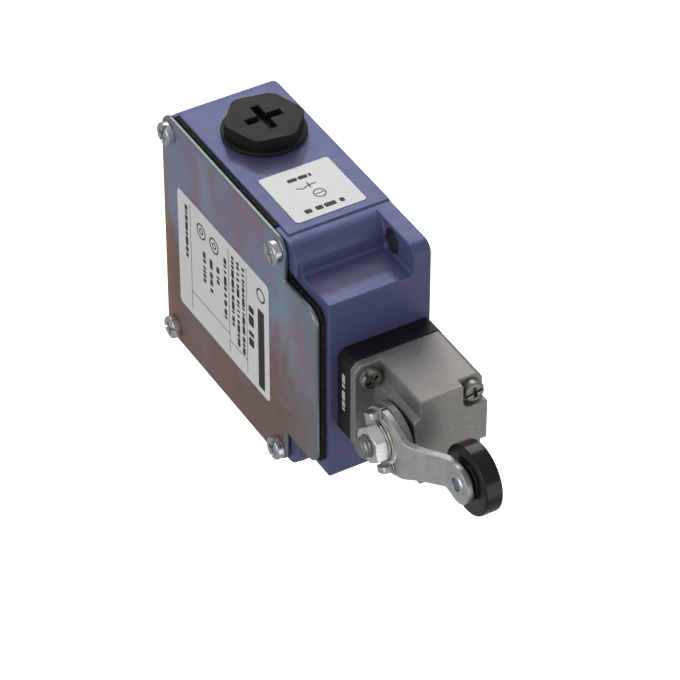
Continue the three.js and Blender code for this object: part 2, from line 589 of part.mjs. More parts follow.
// ---------- plunger, return spring and yoke ----------
const followerTop = AXIS_Z - CAM.r - RUN;
const followerSeat = followerTop - FOLLOWER.flangeT;
place('cam_follower', turnedZ([
  [0, FOLLOWER.bottom], [FOLLOWER.stemR, FOLLOWER.bottom], [FOLLOWER.stemR, followerSeat],
  [FOLLOWER.r, followerSeat], [FOLLOWER.r, followerTop - FOLLOWER.chamfer],
  [FOLLOWER.r - FOLLOWER.chamfer, followerTop], [0, followerTop],
], 0, HEAD.y, 20), blackPlastic());
const returnSpring = coilSpring(RETURN_SPRING, GUIDE.seat + GAP, followerSeat - GAP, 0, HEAD.y);
place('return_spring', returnSpring, springSteel());

const yokeTop = FOLLOWER.bottom - GAP;
const yokeBottom = yokeTop - YOKE.thick;
const yokeOutline = rectangle(-YOKE.half, YOKE.half, yokeBottom, yokeTop, YOKE.corner);
place('transfer_yoke', slabY(yokeOutline, [YOKE.front, YOKE.back]), phenolic());

// ---------- contact blocks ----------
BLOCKS.forEach(([side, word]) => {
  const x = side * BLOCK.x;
  const base = cut(
    box([x - BLOCK.half, x + BLOCK.half], [BLOCK.front, BLOCK.back], [BLOCK.bottom, BLOCK.top]),
    box([x - WELL.half, x + WELL.half], [BLOCK.front - OVER, WELL.back], [WELL.floor, WELL.roof]),
    barZ(PUSHER.r + RUN, [WELL.roof - OVER, BLOCK.top + OVER], x, HEAD.y, 16),
  );
  place(`contact_base_${word}`, base, phenolic());

  const strips = [[STRIP.upper, -1, 1], [STRIP.upper, 1, 2], [STRIP.lower, -1, 3], [STRIP.lower, 1, 4]];
  strips.forEach(([z, end, number]) => {
    const length = [x + end * STRIP.inner, x + end * (WELL.half - GAP)];
    const strip = box(length, [HEAD.y - STRIP.depth / 2, HEAD.y + STRIP.depth / 2], [z, z + STRIP.thick]);
    place(`fixed_contact_${word}${number}`, strip, brass());
  });

  const pusher = turnedZ([
    [0, PUSHER.collarBottom], [PUSHER.collarR, PUSHER.collarBottom], [PUSHER.collarR, BRIDGE.z - GAP],
    [PUSHER.r, BRIDGE.z - GAP], [PUSHER.r, yokeBottom - GAP], [0, yokeBottom - GAP],
  ], x, HEAD.y, 16);
  place(`contact_plunger_${word}`, pusher, blackPlastic());

  const bridgeDepth = [HEAD.y - BRIDGE.depth / 2, HEAD.y + BRIDGE.depth / 2];
  const bridge = cut(
    box([x - BRIDGE.half, x + BRIDGE.half], bridgeDepth, [BRIDGE.z, BRIDGE.z + BRIDGE.thick]),
    barZ(PUSHER.r + GAP, [BRIDGE.z - OVER, BRIDGE.z + OVER], x, HEAD.y, 16),
  );
  place(`contact_bridge_${word}`, bridge, brass());

  const spring = coilSpring(CONTACT_SPRING, WELL.floor + GAP, PUSHER.collarBottom - GAP, x, HEAD.y);
  place(`contact_spring_${word}`, spring, springSteel());

  [[-1, 1], [1, 2]].forEach(([end, number]) => {
    const seat = BLOCK.front - GAP;
    const head = turnedY([
      [0, seat - TERMINAL.headH], [TERMINAL.headR, seat - TERMINAL.headH], [TERMINAL.headR, seat], [0, seat],
    ], x + end * TERMINAL.x, (BLOCK.bottom + WELL.floor) / 2, 12);
    place(`terminal_screw_${word}${number}`, head, brightSteel());
  });
});

// ---------- earth terminal ----------
const clampBack = EARTH.postFront - GAP;
const clampFront = clampBack - EARTH.plateT;
const clampPlate = box(
  [EARTH.x - EARTH.plate, EARTH.x + EARTH.plate], [clampFront, clampBack],
  [EARTH.z - EARTH.plate, EARTH.z + EARTH.plate]);
const clampHole = barY(EARTH.shankR + GAP, [clampFront - OVER, clampBack + OVER], EARTH.x, EARTH.z, 12);
place('earth_clamp', clampPlate.subtract(clampHole), brass());
place('earth_screw', screwY(EARTH, clampFront - GAP, EARTH.x, EARTH.z), brightSteel());

export default model;
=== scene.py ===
"""A limit switch with a cranked roller lever: its detailed pieces, materials, studio and camera."""

import json
import math
import random

import bmesh
import bpy
from mathutils import Matrix, Vector


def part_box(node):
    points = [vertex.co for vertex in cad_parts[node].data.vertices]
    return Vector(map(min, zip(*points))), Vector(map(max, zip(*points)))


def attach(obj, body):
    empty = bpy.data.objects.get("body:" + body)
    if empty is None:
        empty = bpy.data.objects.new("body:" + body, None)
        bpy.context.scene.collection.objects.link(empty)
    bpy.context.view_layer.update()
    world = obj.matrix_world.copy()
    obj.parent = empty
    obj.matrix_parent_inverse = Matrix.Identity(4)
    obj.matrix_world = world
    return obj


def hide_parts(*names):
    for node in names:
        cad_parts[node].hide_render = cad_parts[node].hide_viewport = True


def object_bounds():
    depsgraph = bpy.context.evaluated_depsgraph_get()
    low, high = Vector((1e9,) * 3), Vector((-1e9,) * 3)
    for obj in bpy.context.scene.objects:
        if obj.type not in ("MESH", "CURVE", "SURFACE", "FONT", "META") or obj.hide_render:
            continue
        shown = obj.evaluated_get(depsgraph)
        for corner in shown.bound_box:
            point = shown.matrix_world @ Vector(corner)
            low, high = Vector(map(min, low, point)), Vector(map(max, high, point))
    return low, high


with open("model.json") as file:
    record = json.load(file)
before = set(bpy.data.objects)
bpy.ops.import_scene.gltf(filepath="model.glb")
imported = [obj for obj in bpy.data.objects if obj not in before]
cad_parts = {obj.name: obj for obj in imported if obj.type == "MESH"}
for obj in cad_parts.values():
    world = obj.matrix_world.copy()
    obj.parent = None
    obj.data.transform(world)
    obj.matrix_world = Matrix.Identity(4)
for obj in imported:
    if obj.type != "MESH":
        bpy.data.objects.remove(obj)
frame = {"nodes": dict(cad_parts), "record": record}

CAD_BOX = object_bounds()
MM = 0.001
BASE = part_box("body_housing")[0].z  # the body's bottom face, where all heights start
OVER = 1.0  # how far a cutting tool passes what it cuts, in mm
X, Y, Z = range(3)


def box_mm(node):
    """A CAD node's box as ((x0, y0, z0), (x1, y1, z1)), in mm with heights from the body's bottom."""
    return [tuple((c[i] - (BASE if i == Z else 0)) / MM for i in range(3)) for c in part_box(node)]


def middle_of(node, i, j):
    """The middle of a CAD node's box in two of its coordinates."""
    low, high = box_mm(node)
    return ((low[i] + high[i]) / 2, (low[j] + high[j]) / 2)


# ---- outlines
def arc(centre, radius, start, end, steps):
    """Points on an arc, its angles in degrees."""
    angles = [math.radians(start + (end - start) * i / steps) for i in range(steps + 1)]
    return [(centre[0] + radius * math.cos(t), centre[1] + radius * math.sin(t)) for t in angles]


def rounded(corners, steps, closed=True):
    """An outline from corners (a, b) or (a, b, radius), the radius rounding that corner."""
    out = []
    count = len(corners)
    for i, corner in enumerate(corners):
        point = Vector(corner[:2])
        radius = corner[2] if len(corner) > 2 else 0
        if not radius or (not closed and i in (0, count - 1)):
            out.append(tuple(point))
            continue
        before = (Vector(corners[i - 1][:2]) - point).normalized()
        after = (Vector(corners[(i + 1) % count][:2]) - point).normalized()
        half = before.angle(after) / 2
        centre = point + (before + after).normalized() * radius / math.sin(half)
        first = point + before * radius / math.tan(half) - centre
        last = point + after * radius / math.tan(half) - centre
        swing = first.angle_signed(last)
        for k in range(steps + 1):
            cos, sin = math.cos(-swing * k / steps), math.sin(-swing * k / steps)
            turned = (first.x * cos - first.y * sin, first.x * sin + first.y * cos)
            out.append((centre.x + turned[0], centre.y + turned[1]))
    return out


def mirrored(right):
    """A closed outline from its right half, listed from the bottom to the top."""
    return right + [(-a, b) for a, b in reversed(right)]


def rectangle(across, up, corner, steps):
    """A rectangle between two places each way, with rounded corners."""
    (a0, a1), (b0, b1) = across, up
    return rounded([(a0, b0, corner), (a1, b0, corner), (a1, b1, corner), (a0, b1, corner)], steps)


def hexagon(radius, turn, corner):
    """A hexagon with rounded corners, its first corner at an angle in degrees."""
    angles = [math.radians(turn + 60 * i) for i in range(6)]
    return rounded([(radius * math.cos(t), radius * math.sin(t), corner) for t in angles], 4)


# ---- meshes
AXES = {"X": (Y, Z, X), "Y": (X, Z, Y), "Z": (X, Y, Z)}


def in_space(axis, a, b, along):
    """A point of an outline plane (a, b) at a place along the axis, as metres in the frame."""
    p = [0.0, 0.0, 0.0]
    i, j, k = AXES[axis]
    p[i], p[j], p[k] = a, b, along
    return (p[X] * MM, p[Y] * MM, p[Z] * MM + BASE)


def linked(name, data):
    """A new object for a mesh, a camera or a light, in the scene."""
    obj = bpy.data.objects.new(name, data)
    bpy.context.scene.collection.objects.link(obj)
    return obj


def mesh_object(name, verts, faces):
    """A linked object from points and faces, with doubles merged and every face looking outwards."""
    mesh = bpy.data.meshes.new(name)
    mesh.from_pydata(verts, [], faces)
    bm = bmesh.new()
    bm.from_mesh(mesh)
    bmesh.ops.remove_doubles(bm, verts=bm.verts, dist=1e-7)
    bmesh.ops.recalc_face_normals(bm, faces=bm.faces)
    bm.to_mesh(mesh)
    bm.free()
    return linked(name, mesh)


def loft(name, axis, layers):
    """Outlines with the same number of points, each (outline, place), joined along an axis."""
    count = len(layers[0][0])
    verts = [in_space(axis, a, b, at) for outline, at in layers for a, b in outline]
    top = (len(layers) - 1) * count
    faces = [list(range(count)), [top + i for i in reversed(range(count))]]
    for start in range(0, top, count):
        for i in range(count):
            a, b = start + i, start + (i + 1) % count
            faces.append([a, b, b + count, a + count])
    return mesh_object(name, verts, faces)


def prism(name, outline, axis, low, high):
    """An outline swept along an axis between two places."""
    return loft(name, axis, [(outline, low), (outline, high)])


def block(x, y, z, name="tool"):
    """A box between two places on each axis."""
    return prism(name, [(x[0], y[0]), (x[1], y[0]), (x[1], y[1]), (x[0], y[1])], "Z", *z)


def lathe(name, profile, axis, centre, steps):
    """A closed or axis-to-axis profile of (radius, place) points turned about an axis through centre."""
    verts, faces = [], []
    for s in range(steps):
        t = 2 * math.pi * s / steps
        for r, along in profile:
            verts.append(in_space(axis, centre[0] + r * math.cos(t), centre[1] + r * math.sin(t), along))
    n = len(profile)
    ring = profile[0] == profile[-1]
    for s in range(steps):
        for i in range(n - 1):
            a, b = s * n + i, s * n + i + 1
            c, d = ((s + 1) % steps) * n + i + 1, ((s + 1) % steps) * n + i
            corners = [a, b, c, d]
            if not ring and abs(profile[i][0]) < 1e-9:
                corners = [a, b, c]
            elif not ring and abs(profile[i + 1][0]) < 1e-9:
                corners = [a, b, d]
            faces.append(corners)
    return mesh_object(name, verts, faces)


def bar(axis, radius, low, high, centre, steps):
    """A round tool along an axis."""
    return lathe("tool", [(0, low), (radius, low), (radius, high), (0, high)], axis, centre, steps)


def baked(obj):
    """Applies an object's modifiers to its mesh."""
    graph = bpy.context.evaluated_depsgraph_get()
    mesh = bpy.data.meshes.new_from_object(obj.evaluated_get(graph))
    obj.modifiers.clear()
    obj.data = mesh
    return obj


def combine(obj, tools, operation="DIFFERENCE"):
    """Cuts, joins or intersects obj with each tool, and removes the tools."""
    for tool in tools:
        boolean = obj.modifiers.new("boolean", "BOOLEAN")
        boolean.operation = operation
        boolean.solver = "MANIFOLD"
        boolean.object = tool
        bpy.context.view_layer.update()
        baked(obj)
        bpy.data.objects.remove(tool)
    return obj


def soften(obj, width, segments, angle):
    """Rounds every edge sharper than the angle by a width in mm, in the mesh itself."""
    bevel = obj.modifiers.new("bevel", "BEVEL")
    bevel.width = width * MM
    bevel.segments = segments
    bevel.limit_method = "ANGLE"
    bevel.angle_limit = math.radians(angle)
    bevel.use_clamp_overlap = False
    bevel.miter_outer = "MITER_ARC"
    bpy.context.view_layer.update()
    return baked(obj)


def smooth(obj, angle=32):
    """Smooth shading up to the angle, with flat faces kept flat by weighted normals."""
    for polygon in obj.data.polygons:
        polygon.use_smooth = True
    obj.data.set_sharp_from_angle(angle=math.radians(angle))
    weighted = obj.modifiers.new("weighted", "WEIGHTED_NORMAL")
    weighted.keep_sharp = True
    weighted.weight = 100
    return obj


def joined(name, objects):
    """Several meshes as one object."""
    bm = bmesh.new()
    for obj in objects:
        bm.from_mesh(obj.data)
        bpy.data.objects.remove(obj)
    mesh = bpy.data.meshes.new(name)
    bm.to_mesh(mesh)
    bm.free()
    return linked(name, mesh)


def finished(obj, material, node=None, body="housing"):
    """Gives a piece its material and body, and hides the CAD node that it stands for."""
    obj.data.materials.clear()
    obj.data.materials.append(material)
    if node:
        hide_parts(node)
    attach(obj, body)


# ---- materials
class Material:
    """A node material with short words for the textures used on the object. Sizes are in metres."""

    def __init__(self, name, roughness=0.5, metallic=0.0, **shader):
        self.material = bpy.data.materials.new(name)
        self.material.use_nodes = True
        self.tree = self.material.node_tree
        self.shader = self.tree.nodes["Principled BSDF"]
        self.shader.inputs["Roughness"].default_value = roughness
        self.shader.inputs["Metallic"].default_value = metallic
        for socket, value in shader.items():
            self.shader.inputs[socket.replace("_", " ")].default_value = value
        self.place = self.add("ShaderNodeTexCoord").outputs["Object"]

    def add(self, kind, **settings):
        node = self.tree.nodes.new(kind)
        for key, value in settings.items():
            setattr(node, key, value)
        return node

    def feed(self, socket, value):
        """Links an output to a socket, or sets a plain value on it."""
        if isinstance(value, bpy.types.NodeSocket):
            self.tree.links.new(value, socket)
        else:
            socket.default_value = (*value, 1) if isinstance(value, tuple) and len(value) == 3 else value

    def noise(self, size, detail=3.0, roughness=0.5, stretch=(1, 1, 1), shift=0.0, distortion=0.0):
        mapping = self.add("ShaderNodeMapping")
        self.feed(mapping.inputs["Vector"], self.place)
        mapping.inputs["Scale"].default_value = [1 / (size * s) for s in stretch]
        mapping.inputs["Location"].default_value = (shift, shift * 1.7, shift * 2.3)
        noise = self.add("ShaderNodeTexNoise")
        self.feed(noise.inputs["Vector"], mapping.outputs["Vector"])
        noise.inputs["Scale"].default_value = 1.0
        noise.inputs["Detail"].default_value = detail
        noise.inputs["Roughness"].default_value = roughness
        noise.inputs["Distortion"].default_value = distortion
        return noise.outputs["Fac"]

    def span(self, value, from_low, from_high, low=0.0, high=1.0):
        node = self.add("ShaderNodeMapRange")
        self.feed(node.inputs["Value"], value)
        limits = {"From Min": from_low, "From Max": from_high, "To Min": low, "To Max": high}
        for key, number in limits.items():
            node.inputs[key].default_value = number
        return node.outputs["Result"]

    def maths(self, operation, a, b=0.0):
        node = self.add("ShaderNodeMath", operation=operation)
        self.feed(node.inputs[0], a)
        self.feed(node.inputs[1], b)
        return node.outputs[0]

    def times(self, a, b):
        return self.maths("MULTIPLY", a, b)

    def ramp(self, value, stops):
        node = self.add("ShaderNodeValToRGB")
        self.feed(node.inputs["Fac"], value)
        elements = node.color_ramp.elements
        while len(elements) < len(stops):
            elements.new(1.0)
        for element, (position, colour) in zip(elements, stops):
            element.position = position
            element.color = (*colour, 1)
        return node.outputs["Color"]

    def mix(self, share, a, b):
        node = self.add("ShaderNodeMix", data_type="RGBA")
        self.feed(node.inputs["Factor"], share)
        self.feed(node.inputs["A"], a)
        self.feed(node.inputs["B"], b)
        return node.outputs["Result"]

    def part(self, axis, vector=None):
        """One coordinate of a vector, or of the place in metres."""
        node = self.add("ShaderNodeSeparateXYZ")
        self.feed(node.inputs["Vector"], vector or self.place)
        return node.outputs[axis]

    def edges(self, radius):
        """1 on edges and 0 on flat faces, from how far the rounded normal leaves the true one."""
        bevel = self.add("ShaderNodeBevel", samples=4)
        bevel.inputs["Radius"].default_value = radius
        geometry = self.add("ShaderNodeNewGeometry")
        dot = self.add("ShaderNodeVectorMath", operation="DOT_PRODUCT")
        self.feed(dot.inputs[0], bevel.outputs["Normal"])
        self.feed(dot.inputs[1], geometry.outputs["Normal"])
        return self.span(self.maths("SUBTRACT", 1.0, dot.outputs["Value"]), 0.02, 0.25)

    def facing(self, axis):
        """How squarely a face looks along an axis, either way: 1 square on, 0 edge on."""
        normal = self.add("ShaderNodeNewGeometry").outputs["Normal"]
        return self.maths("ABSOLUTE", self.part(axis, normal))

    def bump(self, height, distance):
        node = self.add("ShaderNodeBump")
        self.feed(node.inputs["Height"], height)
        node.inputs["Distance"].default_value = distance
        if self.shader.inputs["Normal"].is_linked:
            self.feed(node.inputs["Normal"], self.shader.inputs["Normal"].links[0].from_socket)
        self.feed(self.shader.inputs["Normal"], node.outputs["Normal"])
        return self

    def colour(self, value):
        self.feed(self.shader.inputs["Base Color"], value)

    def rough(self, noise, low, high):
        self.feed(self.shader.inputs["Roughness"], self.span(noise, 0.3, 0.7, low, high))


SLOT = {"x": 27.5, "z": 61.9, "r": 2.6, "flat": 0.5, "front": -4.4}  # the mounting slots in the ears


def dimmed(tint, factor):
    """A tint made darker or brighter."""
    return tuple(c * factor for c in tint)


def painted_slot_shade(m):
    """1 on the walls inside the mounting slots, which get a near-black painted shade, and 0 elsewhere."""
    across = m.maths("SUBTRACT", m.maths("ABSOLUTE", m.part(X)), SLOT["x"] * MM)
    height = m.maths("SUBTRACT", m.part(Z), SLOT["z"] * MM + BASE)
    reach = m.maths("ADD", m.times(across, across), m.times(height, height))
    near = m.span(reach, (3.6 * MM) ** 2, (3.2 * MM) ** 2)
    behind = m.span(m.part(Y), SLOT["front"] * MM, (SLOT["front"] + 0.2) * MM)
    return m.times(m.times(near, m.span(m.facing(Y), 0.3, 0.1)), behind)


def housing_paint():
    """Blue-violet stove enamel: soft orange peel, faint mottling, paler edges that are part wear and part
    painted highlight, and painted shade inside the mounting slots.
    """
    m = Material("housing_paint", roughness=0.36, Specular_IOR_Level=0.45)
    mottle = m.noise(0.006, detail=4, roughness=0.6)
    base = m.ramp(mottle, [(0.3, (0.090, 0.101, 0.232)), (0.7, (0.098, 0.110, 0.246))])
    # Paler edges: part thin worn paint, part painted highlight where the rounded edges catch the light.
    worn = m.times(m.edges(0.0005), m.span(m.noise(0.0012, shift=3), 0.35, 0.65, 0.35, 1.0))
    dust = m.span(m.noise(0.00035, detail=1, shift=8), 0.72, 0.78, 0.0, 0.35)
    paint = m.mix(dust, m.mix(m.times(worn, 0.55), base, (0.26, 0.27, 0.48)), (0.4, 0.41, 0.55))
    # Painted shade: the walls inside the mounting slots are coloured near-black.
    m.colour(m.mix(painted_slot_shade(m), paint, (0.045, 0.042, 0.07)))
    m.rough(m.noise(0.004, detail=3, shift=5), 0.30, 0.44)
    m.bump(m.noise(0.0011, detail=2, shift=1), 0.00006)
    return m.bump(m.noise(0.00022, detail=2, shift=2), 0.000012).material


def passivated_zinc():
    """Zinc plate under an iridescent film: soft clouds of blue, violet, rose, copper and green."""
    m = Material("passivated_zinc", roughness=0.38, metallic=0.92)
    across, along = m.part(X), m.part(Z)
    warp = m.span(m.noise(0.016, detail=3, roughness=0.55, distortion=0.6), 0.25, 0.75, -0.30, 0.30)
    brown = m.span(m.maths("ADD", m.span(across, -0.016, 0.020), warp), 0.25, 0.70)
    base = m.mix(brown, (0.38, 0.42, 0.62), (0.35, 0.235, 0.20))
    cloud = m.noise(0.016, detail=2, roughness=0.5, shift=2, distortion=0.5)
    rose = m.times(m.span(cloud, 0.46, 0.64, 0.0, 0.62), m.span(brown, 0.0, 1.0, 1.0, 0.35))
    base = m.mix(rose, base, (0.52, 0.28, 0.34))
    cloud = m.noise(0.014, detail=3, roughness=0.5, stretch=(1.6, 1, 1), shift=9, distortion=0.4)
    steel = m.times(m.span(cloud, 0.52, 0.68, 0.0, 0.85), m.span(brown, 0.0, 1.0, 1.0, 0.30))
    base = m.mix(steel, base, (0.40, 0.56, 0.70))
    copper = m.span(m.maths("ADD", m.span(along, -0.022, -0.030), warp), 0.45, 0.9, 0.0, 0.75)
    base = m.mix(m.times(copper, m.span(across, -0.022, -0.012)), base, (0.52, 0.30, 0.17))
    green = m.span(m.maths("ADD", m.span(along, 0.020, 0.038), warp), 0.30, 0.90, 0.0, 0.55)
    base = m.mix(green, base, (0.33, 0.40, 0.45))
    m.colour(m.mix(m.span(m.facing(Y), 0.97, 0.6), base, (0.30, 0.365, 0.365)))
    m.rough(m.noise(0.003, detail=4, shift=6), 0.34, 0.46)
    return m.bump(m.noise(0.0006, detail=3, shift=7), 0.000006).material


def bright_zinc(name, tint, roughness, wear=0.12, sheared=1.0):
    """Zinc plate: fine grain, a few dull spots, and sheared sides of their own brightness."""
    m = Material(name, roughness=roughness, metallic=1.0)
    drift = m.mix(m.span(m.noise(0.0025, detail=4, shift=2), 0.35, 0.65), tint, dimmed(tint, 0.86))
    spots = m.span(m.noise(0.0005, detail=2, shift=9), 0.64, 0.74, 0.0, wear)
    plate = m.mix(spots, drift, (0.30, 0.30, 0.29))
    m.colour(m.mix(m.span(m.facing(Y), 0.5, 0.15), plate, dimmed(tint, sheared)))
    m.rough(m.noise(0.0012, detail=4, shift=5), roughness - 0.05, roughness + 0.07)
    return m.bump(m.noise(0.00018, detail=3, shift=1), 0.0000025).material


def blasted_diecast(name="blasted_diecast", tint=(0.40, 0.385, 0.37)):
    """Tumbled zinc die-casting: matt sparkle of fine facets, edges rubbed brighter."""
    m = Material(name, roughness=0.52, metallic=0.85)
    grain = m.noise(0.00036, detail=2, roughness=0.7, shift=3)
    body = m.ramp(grain, [(0.34, dimmed(tint, 0.8)), (0.5, tint), (0.68, dimmed(tint, 1.3))])
    cast = m.mix(m.span(m.noise(0.004, detail=4, shift=7), 0.35, 0.7, 0.0, 0.25), body, dimmed(tint, 0.85))
    m.colour(m.mix(m.times(m.edges(0.0004), 0.55), cast, (0.62, 0.61, 0.58)))
    m.rough(grain, 0.44, 0.62)
    return m.bump(grain, 0.00003).material


def moulded(name, tint, roughness, grain=0.0003, depth=0.000008, scuff=0.12, specular=0.45):
    """Moulded plastic: fine spark-eroded grain, faint scuffs and paler edges."""
    m = Material(name, roughness=roughness, Specular_IOR_Level=specular)
    pale = tuple(min(1.0, c * 1.6 + 0.012) for c in tint)
    base = m.mix(m.span(m.noise(0.005, detail=3, shift=4), 0.35, 0.7, 0.0, 0.4), tint, dimmed(tint, 0.85))
    scuffed = m.span(m.noise(0.0009, detail=3, stretch=(3, 1, 1), shift=6), 0.62, 0.8, 0.0, scuff)
    m.colour(m.mix(m.times(m.edges(0.0003), 0.35), m.mix(scuffed, base, pale), pale))
    m.rough(m.noise(0.003, detail=3, shift=2), roughness - 0.03, roughness + 0.05)
    return m.bump(m.noise(grain, detail=2, shift=1), depth).material


def soft_rubber():
    """Black gasket rubber, matt, with a dusty bloom."""
    m = Material("soft_rubber", roughness=0.8, Specular_IOR_Level=0.3)
    bloom = m.span(m.noise(0.0008, detail=4), 0.4, 0.7)
    m.colour(m.mix(bloom, (0.010, 0.010, 0.010), (0.035, 0.034, 0.032)))
    return m.bump(m.noise(0.0003, detail=3, shift=2), 0.00003).material


def label_film(name, tint, metallic, roughness):
    """Printed polyester film: almost flat, with a slight orange peel and a soft handling haze."""
    m = Material(name, roughness=roughness, metallic=metallic)
    m.colour(m.mix(m.span(m.noise(0.004, detail=4), 0.35, 0.7, 0.0, 0.35), tint, dimmed(tint, 0.9)))
    m.rough(m.noise(0.0015, detail=3, shift=3), roughness - 0.05, roughness + 0.08)
    return m.bump(m.noise(0.0008, detail=2, shift=1), 0.000006).material


def print_ink(name="print_ink", tint=(0.018, 0.018, 0.02), worn=(0.05, 0.05, 0.055)):
    """Label print, slightly worn in small spots."""
    m = Material(name, roughness=0.5)
    m.colour(m.mix(m.span(m.noise(0.0003, detail=3), 0.5, 0.75), tint, worn))
    return m.bump(m.noise(0.0002, detail=2, shift=1), 0.000003).material


PAINT = housing_paint()
COVER_ZINC = passivated_zinc()
SCREW_ZINC = bright_zinc("screw_zinc", (0.70, 0.75, 0.76), 0.28)
NUT_ZINC = bright_zinc("nut_zinc", (0.97, 0.99, 1.0), 0.36, 0.03)
DULL_ZINC = bright_zinc("dull_zinc", (0.34, 0.33, 0.31), 0.34, 0.4)
LEVER_ZINC = bright_zinc("lever_zinc", (0.76, 0.78, 0.76), 0.38, sheared=0.6)
WASHER_ZINC = bright_zinc("washer_zinc", (0.76, 0.76, 0.64), 0.28)
STUD_STEEL = bright_zinc("stud_steel", (0.38, 0.38, 0.37), 0.36, 0.4)
DIECAST = blasted_diecast()
HUB_CAST = blasted_diecast("hub_cast", (0.32, 0.32, 0.295))
PLUG_BLACK = moulded("plug_black", (0.017, 0.0135, 0.0125), 0.46, specular=0.27)
ADAPTER_BLACK = moulded("adapter_black", (0.008, 0.0068, 0.006), 0.42)
ROLLER_BLACK = moulded("roller_black", (0.010, 0.0065, 0.005), 0.17, 0.0008, 0.000002, 0.05)
INNER_BROWN = moulded("inner_brown", (0.09, 0.065, 0.05), 0.5)
RUBBER = soft_rubber()
FOIL = label_film("foil", (0.97, 0.98, 1.0), 0.0, 0.42)
WHITE_FILM = label_film("white_film", (0.64, 0.66, 0.65), 0.0, 0.45)
INK = print_ink()
PALE_INK = print_ink("pale_ink", (0.72, 0.72, 0.70), (0.5, 0.5, 0.49))
BRONZE = bright_zinc("bronze", (0.62, 0.44, 0.20), 0.34, 0.3)


# ---- body
(_, COVER_SEAT, _), (BODY_HALF, _, BODY_TOP) = box_mm("body_housing")
BODY_FRONT = COVER_SEAT + 1.0  # the gasket's face; the screw lands stand 1 mm proud of it
FOOT_CORNER = 4.8  # the radius of the body's two lower corners
SHOULDER, NECK_HALF = 59.2, 24.45  # the shelf beside the neck, and half the neck's width
CURVE_R, CURVE_Z = 4.6, 54.6  # the round shoulder beside the neck, and its centre's height
EAR_HALF, EAR_FRONT, EAR_CORNER = 31.62, SLOT["front"], 2.8  # the mounting ears beside the neck
FILLET, FLARE = 0.75, 0.65  # the casting's inner corners, and their reach over the ears
STEP_LOW, STEP_HIGH = 53.5, 53.9  # where the sides step in towards the ears
ENTRY = {"y": -12.0, "z": 19.0, "r": 7.6}
PLUNGER = (0, -11.7)  # the head's upright axis, seen from above
CAVITY = [((-26.8, 26.8), (9, 48)), ((-22.8, 22.8), (5, 53.4)), ((-20.8, 20.8), (5, 67.5))]


def body_blank():
    """The T-shaped body and its full-width back flange, filleted where they meet, as one mesh."""
    low = arc((BODY_HALF - FOOT_CORNER, FOOT_CORNER), FOOT_CORNER, -90, 0, 12)
    low += [(BODY_HALF, STEP_LOW), (EAR_HALF, STEP_HIGH), (EAR_HALF, CURVE_Z)]
    ear = arc((EAR_HALF - EAR_CORNER, BODY_TOP - EAR_CORNER), EAR_CORNER, 0, 90, 8)
    ear.append((NECK_HALF + FLARE, BODY_TOP))

    def shoulder(grow):
        """The right side from the ear's foot to the top of the neck, flared outwards by grow."""
        angles = [math.radians(90 * i / 12) for i in range(1, 13)]
        reach = [(t, CURVE_R + grow * math.sin(t) ** 2) for t in angles]
        outer = [(EAR_HALF - CURVE_R + r * math.cos(t), CURVE_Z + r * math.sin(t)) for t, r in reach]
        inner = arc((NECK_HALF + FILLET, SHOULDER + FILLET), FILLET - grow, 270, 180, 5)
        return outer + inner + [(NECK_HALF + grow, BODY_TOP)]

    verts, faces = [], []

    def add(points, y):
        start = len(verts)
        verts.extend(in_space("Y", a, b, y) for a, b in points)
        return list(range(start, len(verts)))

    def wall(first, second):
        count = len(first)
        for i in range(count):
            j = (i + 1) % count
            faces.append([first[i], first[j], second[j], second[i]])

    layer = front = add(mirrored(low + shoulder(0)), BODY_FRONT)
    for step in range(6):
        t = math.radians(90 * step / 5)
        grow = FLARE * (1 - math.cos(t))
        following = add(mirrored(low + shoulder(grow)), EAR_FRONT - FILLET * (1 - math.sin(t)))
        wall(layer, following)
        layer = following
    plate = mirrored(low + ear)
    plate_front, back = add(plate, EAR_FRONT), add(plate, 0.0)
    wall(plate_front, back)
    for side in (1, -1):
        outline = [low[-1]] + shoulder(FLARE) + list(reversed(ear[:-1]))
        faces.append(add([(side * a, b) for a, b in outline], EAR_FRONT))
    faces += [front, back]
    return mesh_object("body", verts, faces)


def slot_tool(side, low, high):
    """A cutter for one mounting slot."""
    x, z, r = side * SLOT["x"], SLOT["z"], SLOT["r"]
    ends = arc((x + SLOT["flat"], z), r, -90, 90, 20) + arc((x - SLOT["flat"], z), r, 90, 270, 20)
    return prism("slot", ends, "Y", low, high)


def corner_lands():
    """Raised corners under the cover's four screws, kept just inside the body's sides."""
    lands, inset = [], 0.12
    foot = [(25.9, 4.0), (25.9, inset)]
    foot += arc((BODY_HALF - FOOT_CORNER, FOOT_CORNER), FOOT_CORNER - inset, -90, -10, 10) + [(31.86, 4.0)]
    bend = [(EAR_HALF - inset, 49.6)] + arc((EAR_HALF - CURVE_R, CURVE_Z), CURVE_R - inset, 0, 90, 10)
    bend += [(24.0, SHOULDER - inset), (24.0, 55.4), (25.2, 53.0), (25.2, 49.6)]
    for side in (1, -1):
        for corner in (foot, bend):
            outline = [(side * a, b) for a, b in corner]
            lands.append(prism("land", outline, "Y", COVER_SEAT, BODY_FRONT + 0.6))
    return lands


